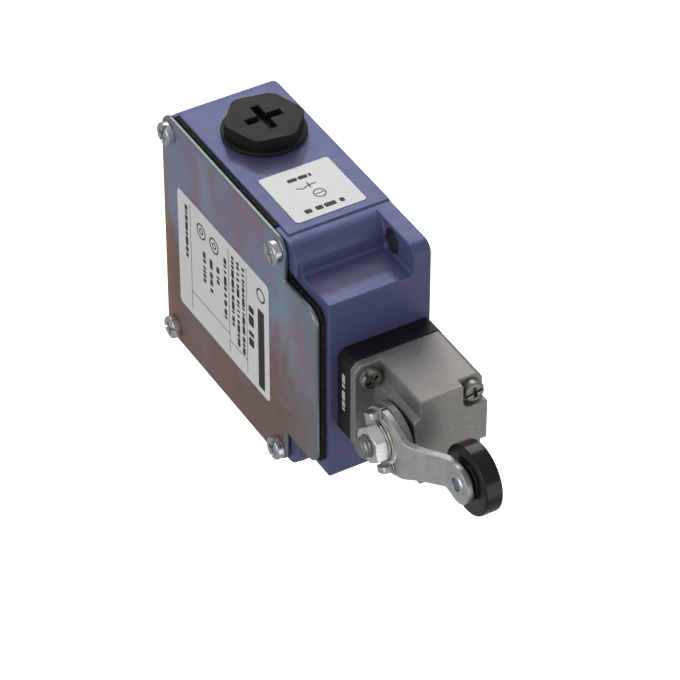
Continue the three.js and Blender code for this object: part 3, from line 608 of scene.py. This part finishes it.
def build_body():
    """The painted casting with its slots, lands, cavity, entries, plunger bore and earth clamp post."""
    body = soften(body_blank(), 0.4, 3, 50)
    combine(body, [slot_tool(side, EAR_FRONT - OVER, OVER) for side in (1, -1)])
    combine(body, corner_lands(), "UNION")
    combine(body, [block(x, (BODY_FRONT - 2, -3.0), z) for x, z in CAVITY])
    low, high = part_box("earth_clamp")
    clamp = ((low.x + high.x) / 2 / MM, ((low.z + high.z) / 2 - BASE) / MM)
    combine(body, [bar("Y", 3.2, -9.0, -2.5, clamp, 32)], "UNION")
    entry = (ENTRY["y"], ENTRY["z"])
    holes = [bar("X", ENTRY["r"], side * 26, side * (BODY_HALF + OVER), entry, 64) for side in (1, -1)]
    holes.append(bar("Z", ENTRY["r"], -OVER, 6, (0, ENTRY["y"]), 64))
    holes.append(bar("Z", 2.75, 66, BODY_TOP + OVER, PLUNGER, 32))
    holes.append(bar("Y", 1.35, -10, -3.5, clamp, 24))
    combine(body, holes)
    soften(body, 0.16, 2, 62)
    finished(smooth(body), PAINT, "body_housing")


# ---- cover and gasket
COVER_LOW, COVER_HIGH = box_mm("cover_plate")
GASKET_LOW, GASKET_HIGH = box_mm("cover_gasket")
TEE_SHOULDER, TEE_CORNER = 55.9, 4.0  # where both narrow to the neck, and their outer corners


def tee_outline(half, neck, neck_corner, top, bottom=0.0):
    """The T shape of the cover and the gasket."""
    right = rounded([(0, bottom), (half, bottom, TEE_CORNER), (half, TEE_SHOULDER, TEE_CORNER),
                     (neck, TEE_SHOULDER, 0.25), (neck, top, neck_corner), (0, top)], 10, closed=False)
    return mirrored(right[1:-1])


def build_cover():
    outline = tee_outline(COVER_HIGH[X], 21.6, 3.5, COVER_HIGH[Z])
    plate = soften(prism("cover", outline, "Y", COVER_LOW[Y], COVER_HIGH[Y]), 0.62, 4, 50)
    through = (COVER_LOW[Y] - OVER, COVER_HIGH[Y] + OVER)
    combine(plate, [bar("Y", 1.6, *through, centre, 24) for centre in cover_screw_places()])
    finished(smooth(plate), COVER_ZINC, "cover_plate")


def build_gasket():
    """The gasket, with a fine groove round its edge and open at the screw corners."""
    low, high = GASKET_LOW[Y], GASKET_HIGH[Y]
    layers, lip, overlap = [], 0.34, 0.30
    places = ((low, low + lip, 0.0), (low + overlap, high - overlap, 0.16), (high - lip, high, 0.0))
    for front, back, inset in places:
        half, top = GASKET_HIGH[X] - inset, GASKET_HIGH[Z] - inset
        outline = tee_outline(half, 21.9 - inset, 3.2, top, 0.1 + inset)
        layers.append(prism("gasket", outline, "Y", front, back))
    gasket = combine(layers[0], layers[1:], "UNION")
    through = (low - OVER, high + OVER)
    tools = [block(x, through, z) for x, z in CAVITY]
    for side in (1, -1):
        tools.append(block(sorted((side * 25.7, side * 33)), through, (-OVER, 4.15)))
        tools.append(block(sorted((side * 23.9, side * 33)), through, (49.45, 60)))
    combine(gasket, tools)
    finished(smooth(soften(gasket, 0.08, 2, 50)), RUBBER, "cover_gasket")


def cover_screw_places():
    return [middle_of(f"cover_screw_{i}", X, Z) for i in range(1, 5)]


def placed(tool, axis, centre, degrees):
    """Turns a tool built round the zero point of the axis's outline plane, then moves it to a centre."""
    i, j, along = AXES[axis]
    zero, move = [0.0, 0.0, 0.0], [0.0, 0.0, 0.0]
    if along != Z:
        zero[Z] = BASE
    move[i], move[j] = centre[0] * MM, centre[1] * MM
    turn = Matrix.Rotation(math.radians(degrees), 4, axis)
    tool.data.transform(Matrix.Translation(zero) @ turn @ Matrix.Translation([-c for c in zero]))
    tool.data.transform(Matrix.Translation(move))
    return tool


def screw(name, axis, centre, seat, top, radius, shank, end, turn):
    """A cheese-head screw with a slot and a cross recess. It points from end to top along the axis."""
    up = 1 if top > seat else -1
    head = rounded([(0, seat), (radius, seat, 0.12), (radius, top, 0.5), (0, top)], 5, closed=False)
    under = seat + up * 0.05
    neck = [(0, under), (shank, under), (shank, end + up * 0.4), (shank - 0.3, end), (0, end)]
    obj = combine(lathe(name, head, axis, centre, 56), [lathe("shank", neck, axis, centre, 28)], "UNION")
    deep = top - up * abs(top - seat) * 0.42
    recesses = []
    for a, b, floor in ((radius + OVER, 0.36, deep), (0.42, 1.55, deep - up * 0.25)):
        low, high = sorted((floor, top + up * OVER))
        recess = prism("recess", [(-a, -b), (a, -b), (a, b), (-a, b)], axis, low, high)
        recesses.append(placed(recess, axis, centre, turn))
    combine(obj, recesses)
    return smooth(soften(obj, 0.07, 2, 50))


def build_cover_screws():
    seat = COVER_LOW[Y] - 0.05
    for i, (centre, turn) in enumerate(zip(cover_screw_places(), (20, 65, -35, 10)), 1):
        low, high = box_mm(f"cover_screw_{i}")
        head = screw(f"cover_screw_head_{i}", "Y", centre, seat, low[Y], 2.75, 1.4, high[Y], turn)
        finished(head, SCREW_ZINC, f"cover_screw_{i}")


# ---- labels
PROUD, INK_DEPTH = 0.03, 0.035  # how far print stands above its film, and how thick it is


def build_labels():
    """The two films and their print."""
    low, high = box_mm("cover_label")
    outline = rectangle((low[X], high[X]), (low[Z], high[Z]), 1.3, 8)
    film = prism("cover_label_film", outline, "Y", low[Y] + PROUD, high[Y])
    finished(smooth(film), FOIL, "cover_label")
    side_low, side_high = box_mm("side_label")
    outline = rectangle((side_low[Y], side_high[Y]), (side_low[Z], side_high[Z]), 0.8, 6)
    film = prism("side_label_film", outline, "X", side_low[X] + PROUD, side_high[X])
    finished(smooth(film), WHITE_FILM, "side_label")
    build_cover_print(low, high)
    build_side_print(side_low, side_high)


def dashes(random_source, start, end, height, level, plane, front, back):
    """A row of short rounded bars that stands for a line of small print."""
    bars, at = [], start
    while at < end - height * 0.8:
        length = min(height * random_source.choice((0.55, 0.8, 0.8, 1.3, 2.1)), end - at)
        corner = min(height, length) * 0.22
        outline = rectangle((at, at + length), (level, level + height), corner, 2)
        bars.append(prism("bar", outline, plane, front, back))
        at += length + height * random_source.choice((0.3, 0.3, 0.75))
    return bars


def build_cover_print(low, high):
    """Generic print on the cover label: a dark heading, ruled lines and rows of plain bars."""
    source = random.Random(7)
    front, back = low[Y], low[Y] + INK_DEPTH
    left, right, top = low[X] + 1.6, high[X] - 1.6, high[Z]
    heading = rectangle((left + 7.5, right), (top - 5.0, top - 2.2), 0.3, 3)
    bars = [prism("bar", heading, "Y", front, back)]
    bars.append(ring_print("Y", (left + 3.2, top - 3.6), 1.9, 1.45, front, back))
    rows = [(9.2, 9.5, 21, 2.3), (12.2, 1.0, 26.0, 1.15), (14.6, 1.0, 26.0, 1.15), (17.0, 1.0, 22.0, 1.15),
            (20.6, 4.0, 22.0, 1.25), (24.0, 9.0, 14.5, 1.3), (27.2, 9.0, 19.5, 1.3), (30.4, 9.0, 18.5, 1.3),
            (38.6, 1.0, 16.0, 1.2)]
    for drop, start, end, height in rows:
        bars += dashes(source, left + start, left + end, height, top - drop, "Y", front, back)
    width, rule = 30.0, 0.16
    for drop in (10.2, 18.4, 36.2):
        bars.append(block((left, left + width), (front, back), (top - drop, top - drop + rule)))
    for across, drop, rise in ((24.6, 36.2, 18.4), (26.4, 18.4, 10.2)):
        bars.append(block((left + across, left + across + rule), (front, back), (top - drop, top - rise)))
    for drop in (25.0, 31.0):
        for outer, inner in ((2.1, 1.7), (0.9, 0.55)):
            bars.append(ring_print("Y", (left + 4.0, top - drop), outer, inner, front, back))
    finished(joined("cover_label_print", bars), INK)


def build_side_print(low, high):
    """Generic print on the side label: two rows of plain bars and a switch symbol."""
    source = random.Random(11)
    front, back = low[X], low[X] + INK_DEPTH
    y0, y1, z0, z1 = low[Y], high[Y], low[Z], high[Z]
    a, b = (y0 + y1) / 2, (z0 + z1) / 2
    bars = dashes(source, y0 + 3.4, y1 - 3.4, 1.35, z1 - 3.2, "X", front, back)
    bars += dashes(source, y0 + 5.4, y1 - 5.4, 1.1, z0 + 3.2, "X", front, back)
    bars.append(ring_print("X", (a + 0.9, b + 1.7), 1.5, 1.24, front, back))
    strokes = [(-0.1, 1.7, 1.9, 1.7), (-2.9, -1.9, -1.6, -1.2), (-1.6, -1.2, 0.2, -1.9),
               (0.2, -0.9, 0.2, -2.9), (0.2, -1.9, 2.0, -1.9)]
    for a0, b0, a1, b1 in strokes:
        bars.append(stroke("X", (a + a0, b + b0), (a + a1, b + b1), 0.13, front, back))
    finished(joined("side_label_print", bars), INK)


def stroke(axis, start, end, half_width, low, high):
    """A thin straight printed line."""
    a, b = Vector(start), Vector(end)
    along = (b - a).normalized() * half_width
    across = Vector((-along.y, along.x))
    outline = [tuple(p) for p in (a - across, b - across, b + across, a + across)]
    return prism("bar", outline, axis, low, high)


def ring_print(axis, centre, outer, inner, low, high):
    """A printed circle."""
    profile = [(inner, low), (outer, low), (outer, high), (inner, high), (inner, low)]
    return lathe("bar", profile, axis, centre, 40)


# ---- side plugs
def cross_outline(centre, long, wide):
    """A plus sign: arms that reach long from the centre, and wide to each side."""
    outline = []
    for turn in range(4):
        for x, y in ((wide, long), (wide, wide), (long, wide)):
            for _ in range(turn):
                x, y = y, -x
            outline.append((centre[0] + x, centre[1] + y))
    return outline


def build_plugs():
    """The entry plugs: a flange, a domed hexagon with a cross recess, and a hollow stem."""
    centre = (ENTRY["y"], ENTRY["z"])
    for side, word in ((-1, "left"), (1, "right")):
        low, high = box_mm(f"plug_{word}")
        tip, inner = (high[X], low[X]) if side > 0 else (low[X], high[X])
        washer = box_mm(f"plug_washer_{word}")
        flange = side * (max(abs(washer[0][X]), abs(washer[1][X])) + 0.05)
        rim = flange + side * 0.65
        profile = rounded([(0, flange), (9.75, flange, 0.2), (9.75, rim, 0.3), (0, rim)], 5, closed=False)
        plug = lathe(f"entry_plug_{word}", profile, "X", centre, 96)
        outline = [(a + centre[0], b + centre[1]) for a, b in hexagon(9.5, 10.5, 0.35)]
        hexed = prism("hex", outline, "X", *sorted((flange + side * 0.1, tip)))
        edge, crown = tip - side * 0.55, tip + side * 0.04
        corners = [(0, flange), (9.6, flange), (9.6, edge, 0.3), (9.0, tip, 0.3), (0, crown)]
        dome = lathe("dome", rounded(corners, 6, closed=False), "X", centre, 96)
        combine(hexed, [dome], "INTERSECT")
        stem = bar("X", 7.4, flange + side * 0.1, inner, centre, 64)
        combine(plug, [hexed, stem], "UNION")
        hollow = bar("X", 6.0, flange, inner - side * OVER, centre, 48)
        walls = [(tip - side * 2.0, 0.0), (tip - side * 0.15, 0.04), (tip, 0.16), (tip + side * OVER, 0.3)]
        layers = [(cross_outline(centre, 4.4 + grow, 0.95 + grow), at) for at, grow in walls]
        combine(plug, [hollow, loft("cross", "X", layers)])
        finished(smooth(plug), PLUG_BLACK, f"plug_{word}")


# ---- head
ADAPTER_LOW, ADAPTER_HIGH = box_mm("head_adapter")
HEAD_LOW, HEAD_HIGH = box_mm("head_housing")
FLANGE_TOP, AXIS_Z = 78.6, 90.0
SHAFT = (0, AXIS_Z)  # the lever's axis, seen along Y
HEAD_SIDE, HEAD_FRONT = 11.7, -17.0
PAD_FRONT, PAD_HALF, PAD_STEP = -18.5, 6.2, 7.3  # the raised pad round the shaft, and the foot of its slope


def head_footprint():
    """The chamfered rectangle that the adapter and the head's flange share."""
    (x0, y0, _), (x1, y1, _) = ADAPTER_LOW, ADAPTER_HIGH
    c = 1.5  # the corners' chamfer
    return rounded([(x0 + c, y0, 0.5), (x1 - c, y0, 0.5), (x1, y0 + c, 0.5), (x1, y1 - c, 0.5),
                    (x1 - c, y1, 0.5), (x0 + c, y1, 0.5), (x0, y1 - c, 0.5), (x0, y0 + c, 0.5)], 4)


def build_adapter():
    adapter = soften(prism("adapter", head_footprint(), "Z", ADAPTER_LOW[Z], ADAPTER_HIGH[Z]), 0.25, 3, 50)
    groove = [(5.35, 75.6), (6.85, 75.6), (6.85, 78), (5.35, 78), (5.35, 75.6)]
    tools = [bar("Z", 4.7, 74.2, 77.5, PLUNGER, 40), bar("Z", 2.5, 70, 75, PLUNGER, 32)]
    combine(adapter, tools + [lathe("groove", groove, "Z", PLUNGER, 64)])
    finished(smooth(adapter), ADAPTER_BLACK, "head_adapter")
    front, level = ADAPTER_LOW[Y], (ADAPTER_LOW[Z] + ADAPTER_HIGH[Z]) / 2 - 0.6
    marks = dashes(random.Random(5), -6.6, 4.6, 1.2, level, "Y", front - INK_DEPTH, front + 0.05)
    finished(joined("adapter_print", marks), PALE_INK)


def build_head():
    """The head's casting: a flange and a block with a raised pad, stepped at the top of its back."""
    bottom, top = HEAD_LOW[Z], HEAD_HIGH[Z]
    flange = prism("head_casting", head_footprint(), "Z", bottom, FLANGE_TOP)
    right = [(PAD_HALF, PAD_FRONT, 0.6), (PAD_STEP, HEAD_FRONT, 0.3), (HEAD_SIDE, HEAD_FRONT, 0.6),
             (HEAD_SIDE, -1.5, 0.5), (HEAD_SIDE - 1.5, 0, 0.5)]
    plan = rounded([(-a, b, radius) for a, b, radius in reversed(right)] + right, 4)
    block_part = prism("head_block", plan, "Z", bottom + 0.4, top)
    steps = []
    for side in (-1, 1):
        inner, outer = side * 5.3, side * (HEAD_SIDE + OVER)
        outline = rounded([(inner, -6.2, 2.0), (outer, -6.2), (outer, OVER), (inner, OVER)], 8)
        steps.append(prism("step", outline, "Z", 92.9, top + OVER))
    soften(combine(block_part, steps), 0.3, 3, 50)
    head = combine(soften(flange, 0.3, 3, 50), [block_part], "UNION")
    combine(head, [
        bar("Y", 4.3, -15, -3.2, SHAFT, 48),
        block((-4.3, 4.3), (-15, -3.2), (bottom + 4, AXIS_Z)),
        bar("Z", 4.7, bottom - OVER, 86.1, PLUNGER, 40),
        bar("Y", 4.05, PAD_FRONT - OVER, -14, SHAFT, 40),
        bar("Y", 1.95, -4, -1.4, SHAFT, 24),
    ])
    finished(smooth(head), DIECAST, "head_housing")


def build_head_screws():
    for i, turn in zip(range(1, 5), (35, -20, 100, 25)):
        low, high = box_mm(f"head_screw_{i}")
        centre, seat = middle_of(f"head_screw_{i}", X, Y), high[Z] - 2.2
        head = screw(f"head_screw_head_{i}", "Z", centre, seat, high[Z], 2.45, 1.45, low[Z], turn)
        finished(head, DULL_ZINC, f"head_screw_{i}")


def ring_piece(name, centre, inner, outer, low, high, corner, steps=96):
    """A ring along Y with rounded edges."""
    profile = rectangle((inner, outer), (low, high), corner, 4)
    return lathe(name, profile + profile[:1], "Y", centre, steps)


def build_seal():
    low, high = box_mm("shaft_seal")
    seal = ring_piece("seal_ring", SHAFT, 3.05, 6.6, low[Y], high[Y], 0.25)
    finished(smooth(seal), RUBBER, "shaft_seal")


# ---- lever, hub and roller
ROLLER_LOW, ROLLER_HIGH = box_mm("roller")
ROLLER_Z = (ROLLER_LOW[Z] + ROLLER_HIGH[Z]) / 2
PIN = (0, ROLLER_Z)  # the roller's axis, seen along Y
LEVER_FRONT, LEVER_BACK = -23.0, -21.5
EYE_FRONT, EYE_R, HUB_R = -16.9, 4.65, 7.6
BEND_LOW, BEND_HIGH = 98.5, 105.8  # the heights between which the strip slopes back
LUG_TURNS = (63, 243)  # where the two lugs stand round the hub, in degrees


def bezier(a, b, c, d):
    """Points on a cubic curve, without its first."""
    points, steps = [], 10
    for i in range(1, steps + 1):
        t = i / steps
        s = 1 - t
        w = (s ** 3, 3 * s * s * t, 3 * s * t * t, t ** 3)
        points.append(tuple(w[0] * a[k] + w[1] * b[k] + w[2] * c[k] + w[3] * d[k] for k in (0, 1)))
    return points


def lever_outline():
    """The lever from the front: the round hub, the waisted arm and the round eye."""
    waist = 4.2
    right = arc(SHAFT, HUB_R, -90, 0, 24)
    lower, upper = (waist + 0.1, AXIS_Z + 11), (waist - 0.2, AXIS_Z + 15.6)
    right += bezier((HUB_R, AXIS_Z), (HUB_R, AXIS_Z + 4.6), (waist + 0.9, AXIS_Z + 6.6), lower)
    right.append(upper)
    right += bezier(upper, (waist - 0.2, AXIS_Z + 17.4), (EYE_R, ROLLER_Z - 1.6), (EYE_R, ROLLER_Z))
    right += arc(PIN, EYE_R, 0, 90, 18)[1:]
    return mirrored(right)[:-1]


def lever_side():
    """The cranked strip from the side."""
    thick = LEVER_BACK - LEVER_FRONT
    eye_back = EYE_FRONT + thick
    slope = math.atan2(EYE_FRONT - LEVER_FRONT, BEND_HIGH - BEND_LOW)
    mitre = thick * math.tan(slope / 2)
    low, high = AXIS_Z - HUB_R - OVER, ROLLER_Z + EYE_R + OVER
    return rounded([(LEVER_FRONT, low), (LEVER_BACK, low), (LEVER_BACK, BEND_LOW - mitre, 1.6),
                    (eye_back, BEND_HIGH - mitre, 2.0), (eye_back, high), (EYE_FRONT, high),
                    (EYE_FRONT, BEND_HIGH, 0.6), (LEVER_FRONT, BEND_LOW, 3.1)], 8)


def on_hub(tool, degrees):
    """Stands a tool built upwards from zero on the lever's axis, turned about it."""
    tool.data.transform(Matrix.Translation((0, 0, -BASE)))
    turn = Matrix.Rotation(math.radians(degrees), 4, "Y")
    tool.data.transform(Matrix.Translation((0, 0, AXIS_Z * MM + BASE)) @ turn)
    return tool


def build_lever():
    """The lever's strip: two lugs bent forward at the hub's rim between slits, and its two bores."""
    half = HUB_R + OVER
    arm = prism("lever_strip", lever_side(), "X", -half, half)
    combine(arm, [prism("outline", lever_outline(), "Y", LEVER_FRONT - OVER, EYE_FRONT + 3)], "INTERSECT")
    wide, front, back = 2.0, box_mm("lever_arm")[0][Y], LEVER_BACK - 0.1
    outline = rounded([(-wide, front, 1.3), (wide, front, 1.3), (wide, back), (-wide, back)], 8)
    combine(arm, [on_hub(prism("lug", outline, "Z", 5.45, 6.95), turn) for turn in LUG_TURNS], "UNION")
    slits = []
    for turn in LUG_TURNS:
        for side in (-1, 1):
            slit = block((side * 2.05, side * 2.6), (LEVER_FRONT - OVER, LEVER_BACK + OVER), (5.2, 9.5))
            slits.append(on_hub(slit, turn))
    combine(arm, slits)
    combine(arm, [bar("Y", 2.55, LEVER_FRONT - OVER, LEVER_BACK + OVER, SHAFT, 40),
                  bar("Y", 2.0, EYE_FRONT - OVER, EYE_FRONT + 2.5, PIN, 32)])
    soften(arm, 0.16, 3, 40)
    finished(smooth(arm), LEVER_ZINC, "lever_arm", body="lever")
    build_serration()


def build_serration():
    """Radial teeth pressed into the lever's hub, under the lock washer's rim."""
    count, verts, faces = 56, [], []
    inner, outer, rise = 4.3, 5.6, 0.14
    base, half = LEVER_FRONT + 0.02, math.pi / count * 0.8
    for i in range(count):
        t0 = 2 * math.pi * i / count
        a = len(verts)
        for r in (inner, outer):
            for t, y in ((t0 - half, base), (t0, base - rise), (t0 + half, base)):
                verts.append(in_space("Y", r * math.cos(t), AXIS_Z + r * math.sin(t), y))
        faces += [[a, a + 1, a + 2], [a + 5, a + 4, a + 3], [a, a + 3, a + 4, a + 1]]
        faces += [[a + 1, a + 4, a + 5, a + 2], [a, a + 2, a + 5, a + 3]]
    teeth = mesh_object("hub_serration", verts, faces)
    finished(smooth(teeth, 20), LEVER_ZINC, body="lever")


def build_hub():
    """The cast disc behind the lever, notched round its front edge."""
    low, high = box_mm("hub_disc")
    front, back = low[Y], high[Y]
    outline = rounded([(2.55, front + 0.25), (6.2, front + 0.25, 0.1), (6.4, front, 0.1),
                       (7.9, front, 0.35), (7.9, back, 0.25), (2.55, back)], 5)
    hub = lathe("hub_ring", outline + outline[:1], "Y", SHAFT, 112)
    notches, reach = [], 8.25
    for i in range(20):
        t = math.radians(18 * i + 6)
        centre = (reach * math.cos(t), AXIS_Z + reach * math.sin(t))
        notches.append(bar("Y", 0.5, front - OVER, front + 1.0, centre, 12))
    combine(hub, notches)
    finished(smooth(hub), HUB_CAST, "hub_disc", body="lever")


def threaded(name, radius, pitch, depth, low, high):
    """A stud on the lever's axis: a helical thread, faded out at both ends and chamfered at the tip."""
    steps, rings_per_pitch = 48, 8
    count = round((high - low) / pitch * rings_per_pitch)
    verts, faces = [], []
    for j in range(count + 1):
        y = low + (high - low) * j / count
        fade = min(1.0, (y - low) / 0.6 + 0.25, (high - y) / 0.6)
        tip = max(0.0, 0.55 - (y - low)) * 0.7
        for s in range(steps):
            t = 2 * math.pi * s / steps
            wave = abs(((y / pitch - s / steps) % 1.0) * 2 - 1)
            profile = min(1.0, max(0.0, wave * 1.35 - 0.15))
            r = radius - tip - depth * profile * fade
            verts.append(in_space("Y", r * math.cos(t), AXIS_Z + r * math.sin(t), y))
    for j in range(count):
        for s in range(steps):
            a, b = j * steps + s, j * steps + (s + 1) % steps
            faces.append([a, b, b + steps, a + steps])
    faces.append(list(range(steps)))
    faces.append([count * steps + s for s in reversed(range(steps))])
    return mesh_object(name, verts, faces)


def build_shaft():
    low, high = box_mm("lever_shaft")
    stud = smooth(threaded("shaft_stud", 2.5, 0.8, 0.38, low[Y], -21.3), 40)
    finished(stud, STUD_STEEL, "lever_shaft", body="lever")
    start, step, end, back = -21.35, -19.65, -3.4, high[Y]
    corners = [(0, start), (2.45, start), (2.45, step), (3.0, step, 0.15), (3.0, end, 0.15), (1.9, end),
               (1.9, back, 0.2), (0, back)]
    rod = lathe("shaft_rod", rounded(corners, 3, closed=False), "Y", SHAFT, 48)
    finished(smooth(rod), STUD_STEEL, body="lever")


def build_washer_and_nut():
    low, high = box_mm("lock_washer")
    middle = (low[Y] + high[Y]) / 2
    gap = 0.06
    plain = ring_piece("lock_washer_ring", SHAFT, 2.6, 4.8, middle + gap, high[Y], 0.16)
    finished(smooth(plain), WASHER_ZINC, "lock_washer", body="lever")
    spring = ring_piece("lock_washer_coil", SHAFT, 2.65, 4.45, low[Y], middle - gap, 0.14)
    cut = block((-0.22, 0.22), (low[Y] - OVER, high[Y] + OVER), (0, 6))
    combine(spring, [placed(cut, "Y", SHAFT, 50)])
    finished(smooth(spring), SCREW_ZINC, body="lever")
    low, high = box_mm("clamp_nut")
    front, back = low[Y], high[Y]
    nut = placed(prism("clamp_nut_hex", hexagon(4.6, 8, 0.12), "Y", front, back), "Y", SHAFT, 0)
    dome = [(0, front), (3.85, front), (4.7, front + 0.5), (4.7, back - 0.45), (4.0, back), (0, back)]
    combine(nut, [lathe("dome", dome, "Y", SHAFT, 96)], "INTERSECT")
    start, end = front - OVER, back + OVER
    bore = [(0, start), (3.4, start), (2.56, front + 0.3), (2.56, end), (0, end)]
    combine(nut, [lathe("bore", bore, "Y", SHAFT, 64)])
    soften(nut, 0.07, 2, 40)
    finished(smooth(nut), NUT_ZINC, "clamp_nut", body="lever")


def build_axle():
    """The roller's hollow rivet, flared in front and with a flat head behind, and its shim."""
    low, high = box_mm("roller_axle")
    front, back = low[Y], high[Y]
    eye, head = EYE_FRONT - 0.02, -9.95
    corners = [(0, front + 2.0), (1.5, front + 2.0, 0.1), (1.6, front + 0.15, 0.1), (2.0, front, 0.2),
               (2.5, front + 0.06, 0.15), (2.85, eye), (1.95, eye), (1.95, head), (3.4, head, 0.2),
               (3.4, back, 0.35), (1.4, back, 0.2), (1.1, back - 0.4), (0, back - 0.4)]
    rivet = smooth(lathe("axle_rivet", rounded(corners, 5, closed=False), "Y", PIN, 72))
    finished(rivet, SCREW_ZINC, "roller_axle", body="lever")
    low, high = box_mm("roller_washer")
    washer = ring_piece("roller_shim", PIN, 2.02, 3.6, low[Y], high[Y], 0.12, 64)
    finished(smooth(washer), SCREW_ZINC, "roller_washer", body="lever")


def build_roller():
    wheel = ring_piece("roller_wheel", PIN, 2.2, ROLLER_HIGH[X], ROLLER_LOW[Y], ROLLER_HIGH[Y], 0.45, 144)
    finished(smooth(wheel), ROLLER_BLACK, "roller", body="roller_wheel")


# ---- inner parts
INNER_FINISH = {
    "gasket_rubber": RUBBER,
    "inner_plastic": INNER_BROWN,
    "bearing_bronze": BRONZE,
    "shaft_steel": STUD_STEEL,
    "fastener_steel": SCREW_ZINC,
}


def dress_inner_nodes():
    """Materials for the CAD nodes that stay: those inside the housing."""
    slots = {part["node"]: part["material_slot"] for part in frame["record"]["subparts"]}
    for name, node in frame["nodes"].items():
        material = INNER_FINISH.get(slots[name])
        if material is None or node.hide_render:
            continue
        node.data.materials.clear()
        node.data.materials.append(material)


# ---- studio
CAMERA_PLACE = (-533.28, -332.95, 604.17)  # mm, heights from the body's bottom
CAMERA_RIGHT = (-0.00115, 0.86477, 0.50217)
CAMERA_FORWARD = (0.64405, 0.38479, -0.66116)
CAMERA_LENS = 198.43


def build_camera():
    data = bpy.data.cameras.new("camera")
    data.lens = CAMERA_LENS
    data.sensor_width = 36.0
    data.clip_start, data.clip_end = 0.01, 10.0
    camera = linked("camera", data)
    back = -Vector(CAMERA_FORWARD).normalized()
    right = Vector(CAMERA_RIGHT)
    right = (right - back * right.dot(back)).normalized()
    up = back.cross(right)
    place = Vector(CAMERA_PLACE) * MM + Vector((0, 0, BASE))
    camera.matrix_world = Matrix.Translation(place) @ Matrix((right, up, back)).transposed().to_4x4()
    bpy.context.scene.camera = camera


def area_light(name, direction, distance, size, power, aim):
    """A square soft light that looks at a point from a direction."""
    data = bpy.data.lights.new(name, "AREA")
    data.size = size
    data.energy = power
    light = linked(name, data)
    towards = Vector(direction).normalized()
    light.location = Vector(aim) + towards * distance
    light.rotation_mode = "QUATERNION"
    light.rotation_quaternion = (-towards).to_track_quat("-Z", "Y")
    return light


def build_studio():
    scene = bpy.context.scene
    scene.view_settings.view_transform = "Standard"
    world = bpy.data.worlds.new("studio")
    world.use_nodes = True
    background = world.node_tree.nodes["Background"]
    background.inputs["Color"].default_value = (1, 1, 1, 1)
    background.inputs["Strength"].default_value = 0.35
    scene.world = world
    low, high = CAD_BOX
    aim = (low + high) / 2
    area_light("key", (-1.0, 0.52, -1.5), 0.9, 0.07, 9.0, aim).visible_glossy = False
    area_light("sheen", (-1.0, 0.46, -0.9), 0.9, 0.5, 1.5, aim).visible_diffuse = False
    area_light("front", (-0.35, -1.0, 0.35), 1.1, 0.9, 3.0, aim)
    area_light("end", (0.2, 0.3, 1.0), 1.2, 0.9, 2.0, aim)
    floor = block((-4000, 4000), (-4000, 4000), (-60, -40), "floor")
    floor.data.transform(Matrix.Translation((0, 0, low.z - BASE)))
    white = (1, 1, 1, 1)
    paper = Material("floor_paper", 0.9, Base_Color=white, Emission_Color=white, Emission_Strength=1.0)
    floor.data.materials.append(paper.material)
    floor.visible_shadow = floor.visible_diffuse = floor.visible_glossy = floor.visible_transmission = False


build_camera()
build_body()
build_cover()
build_gasket()
build_cover_screws()
build_labels()
build_plugs()
build_adapter()
build_head()
build_head_screws()
build_seal()
build_hub()
build_lever()
build_shaft()
build_washer_and_nut()
build_axle()
build_roller()
dress_inner_nodes()
build_studio()
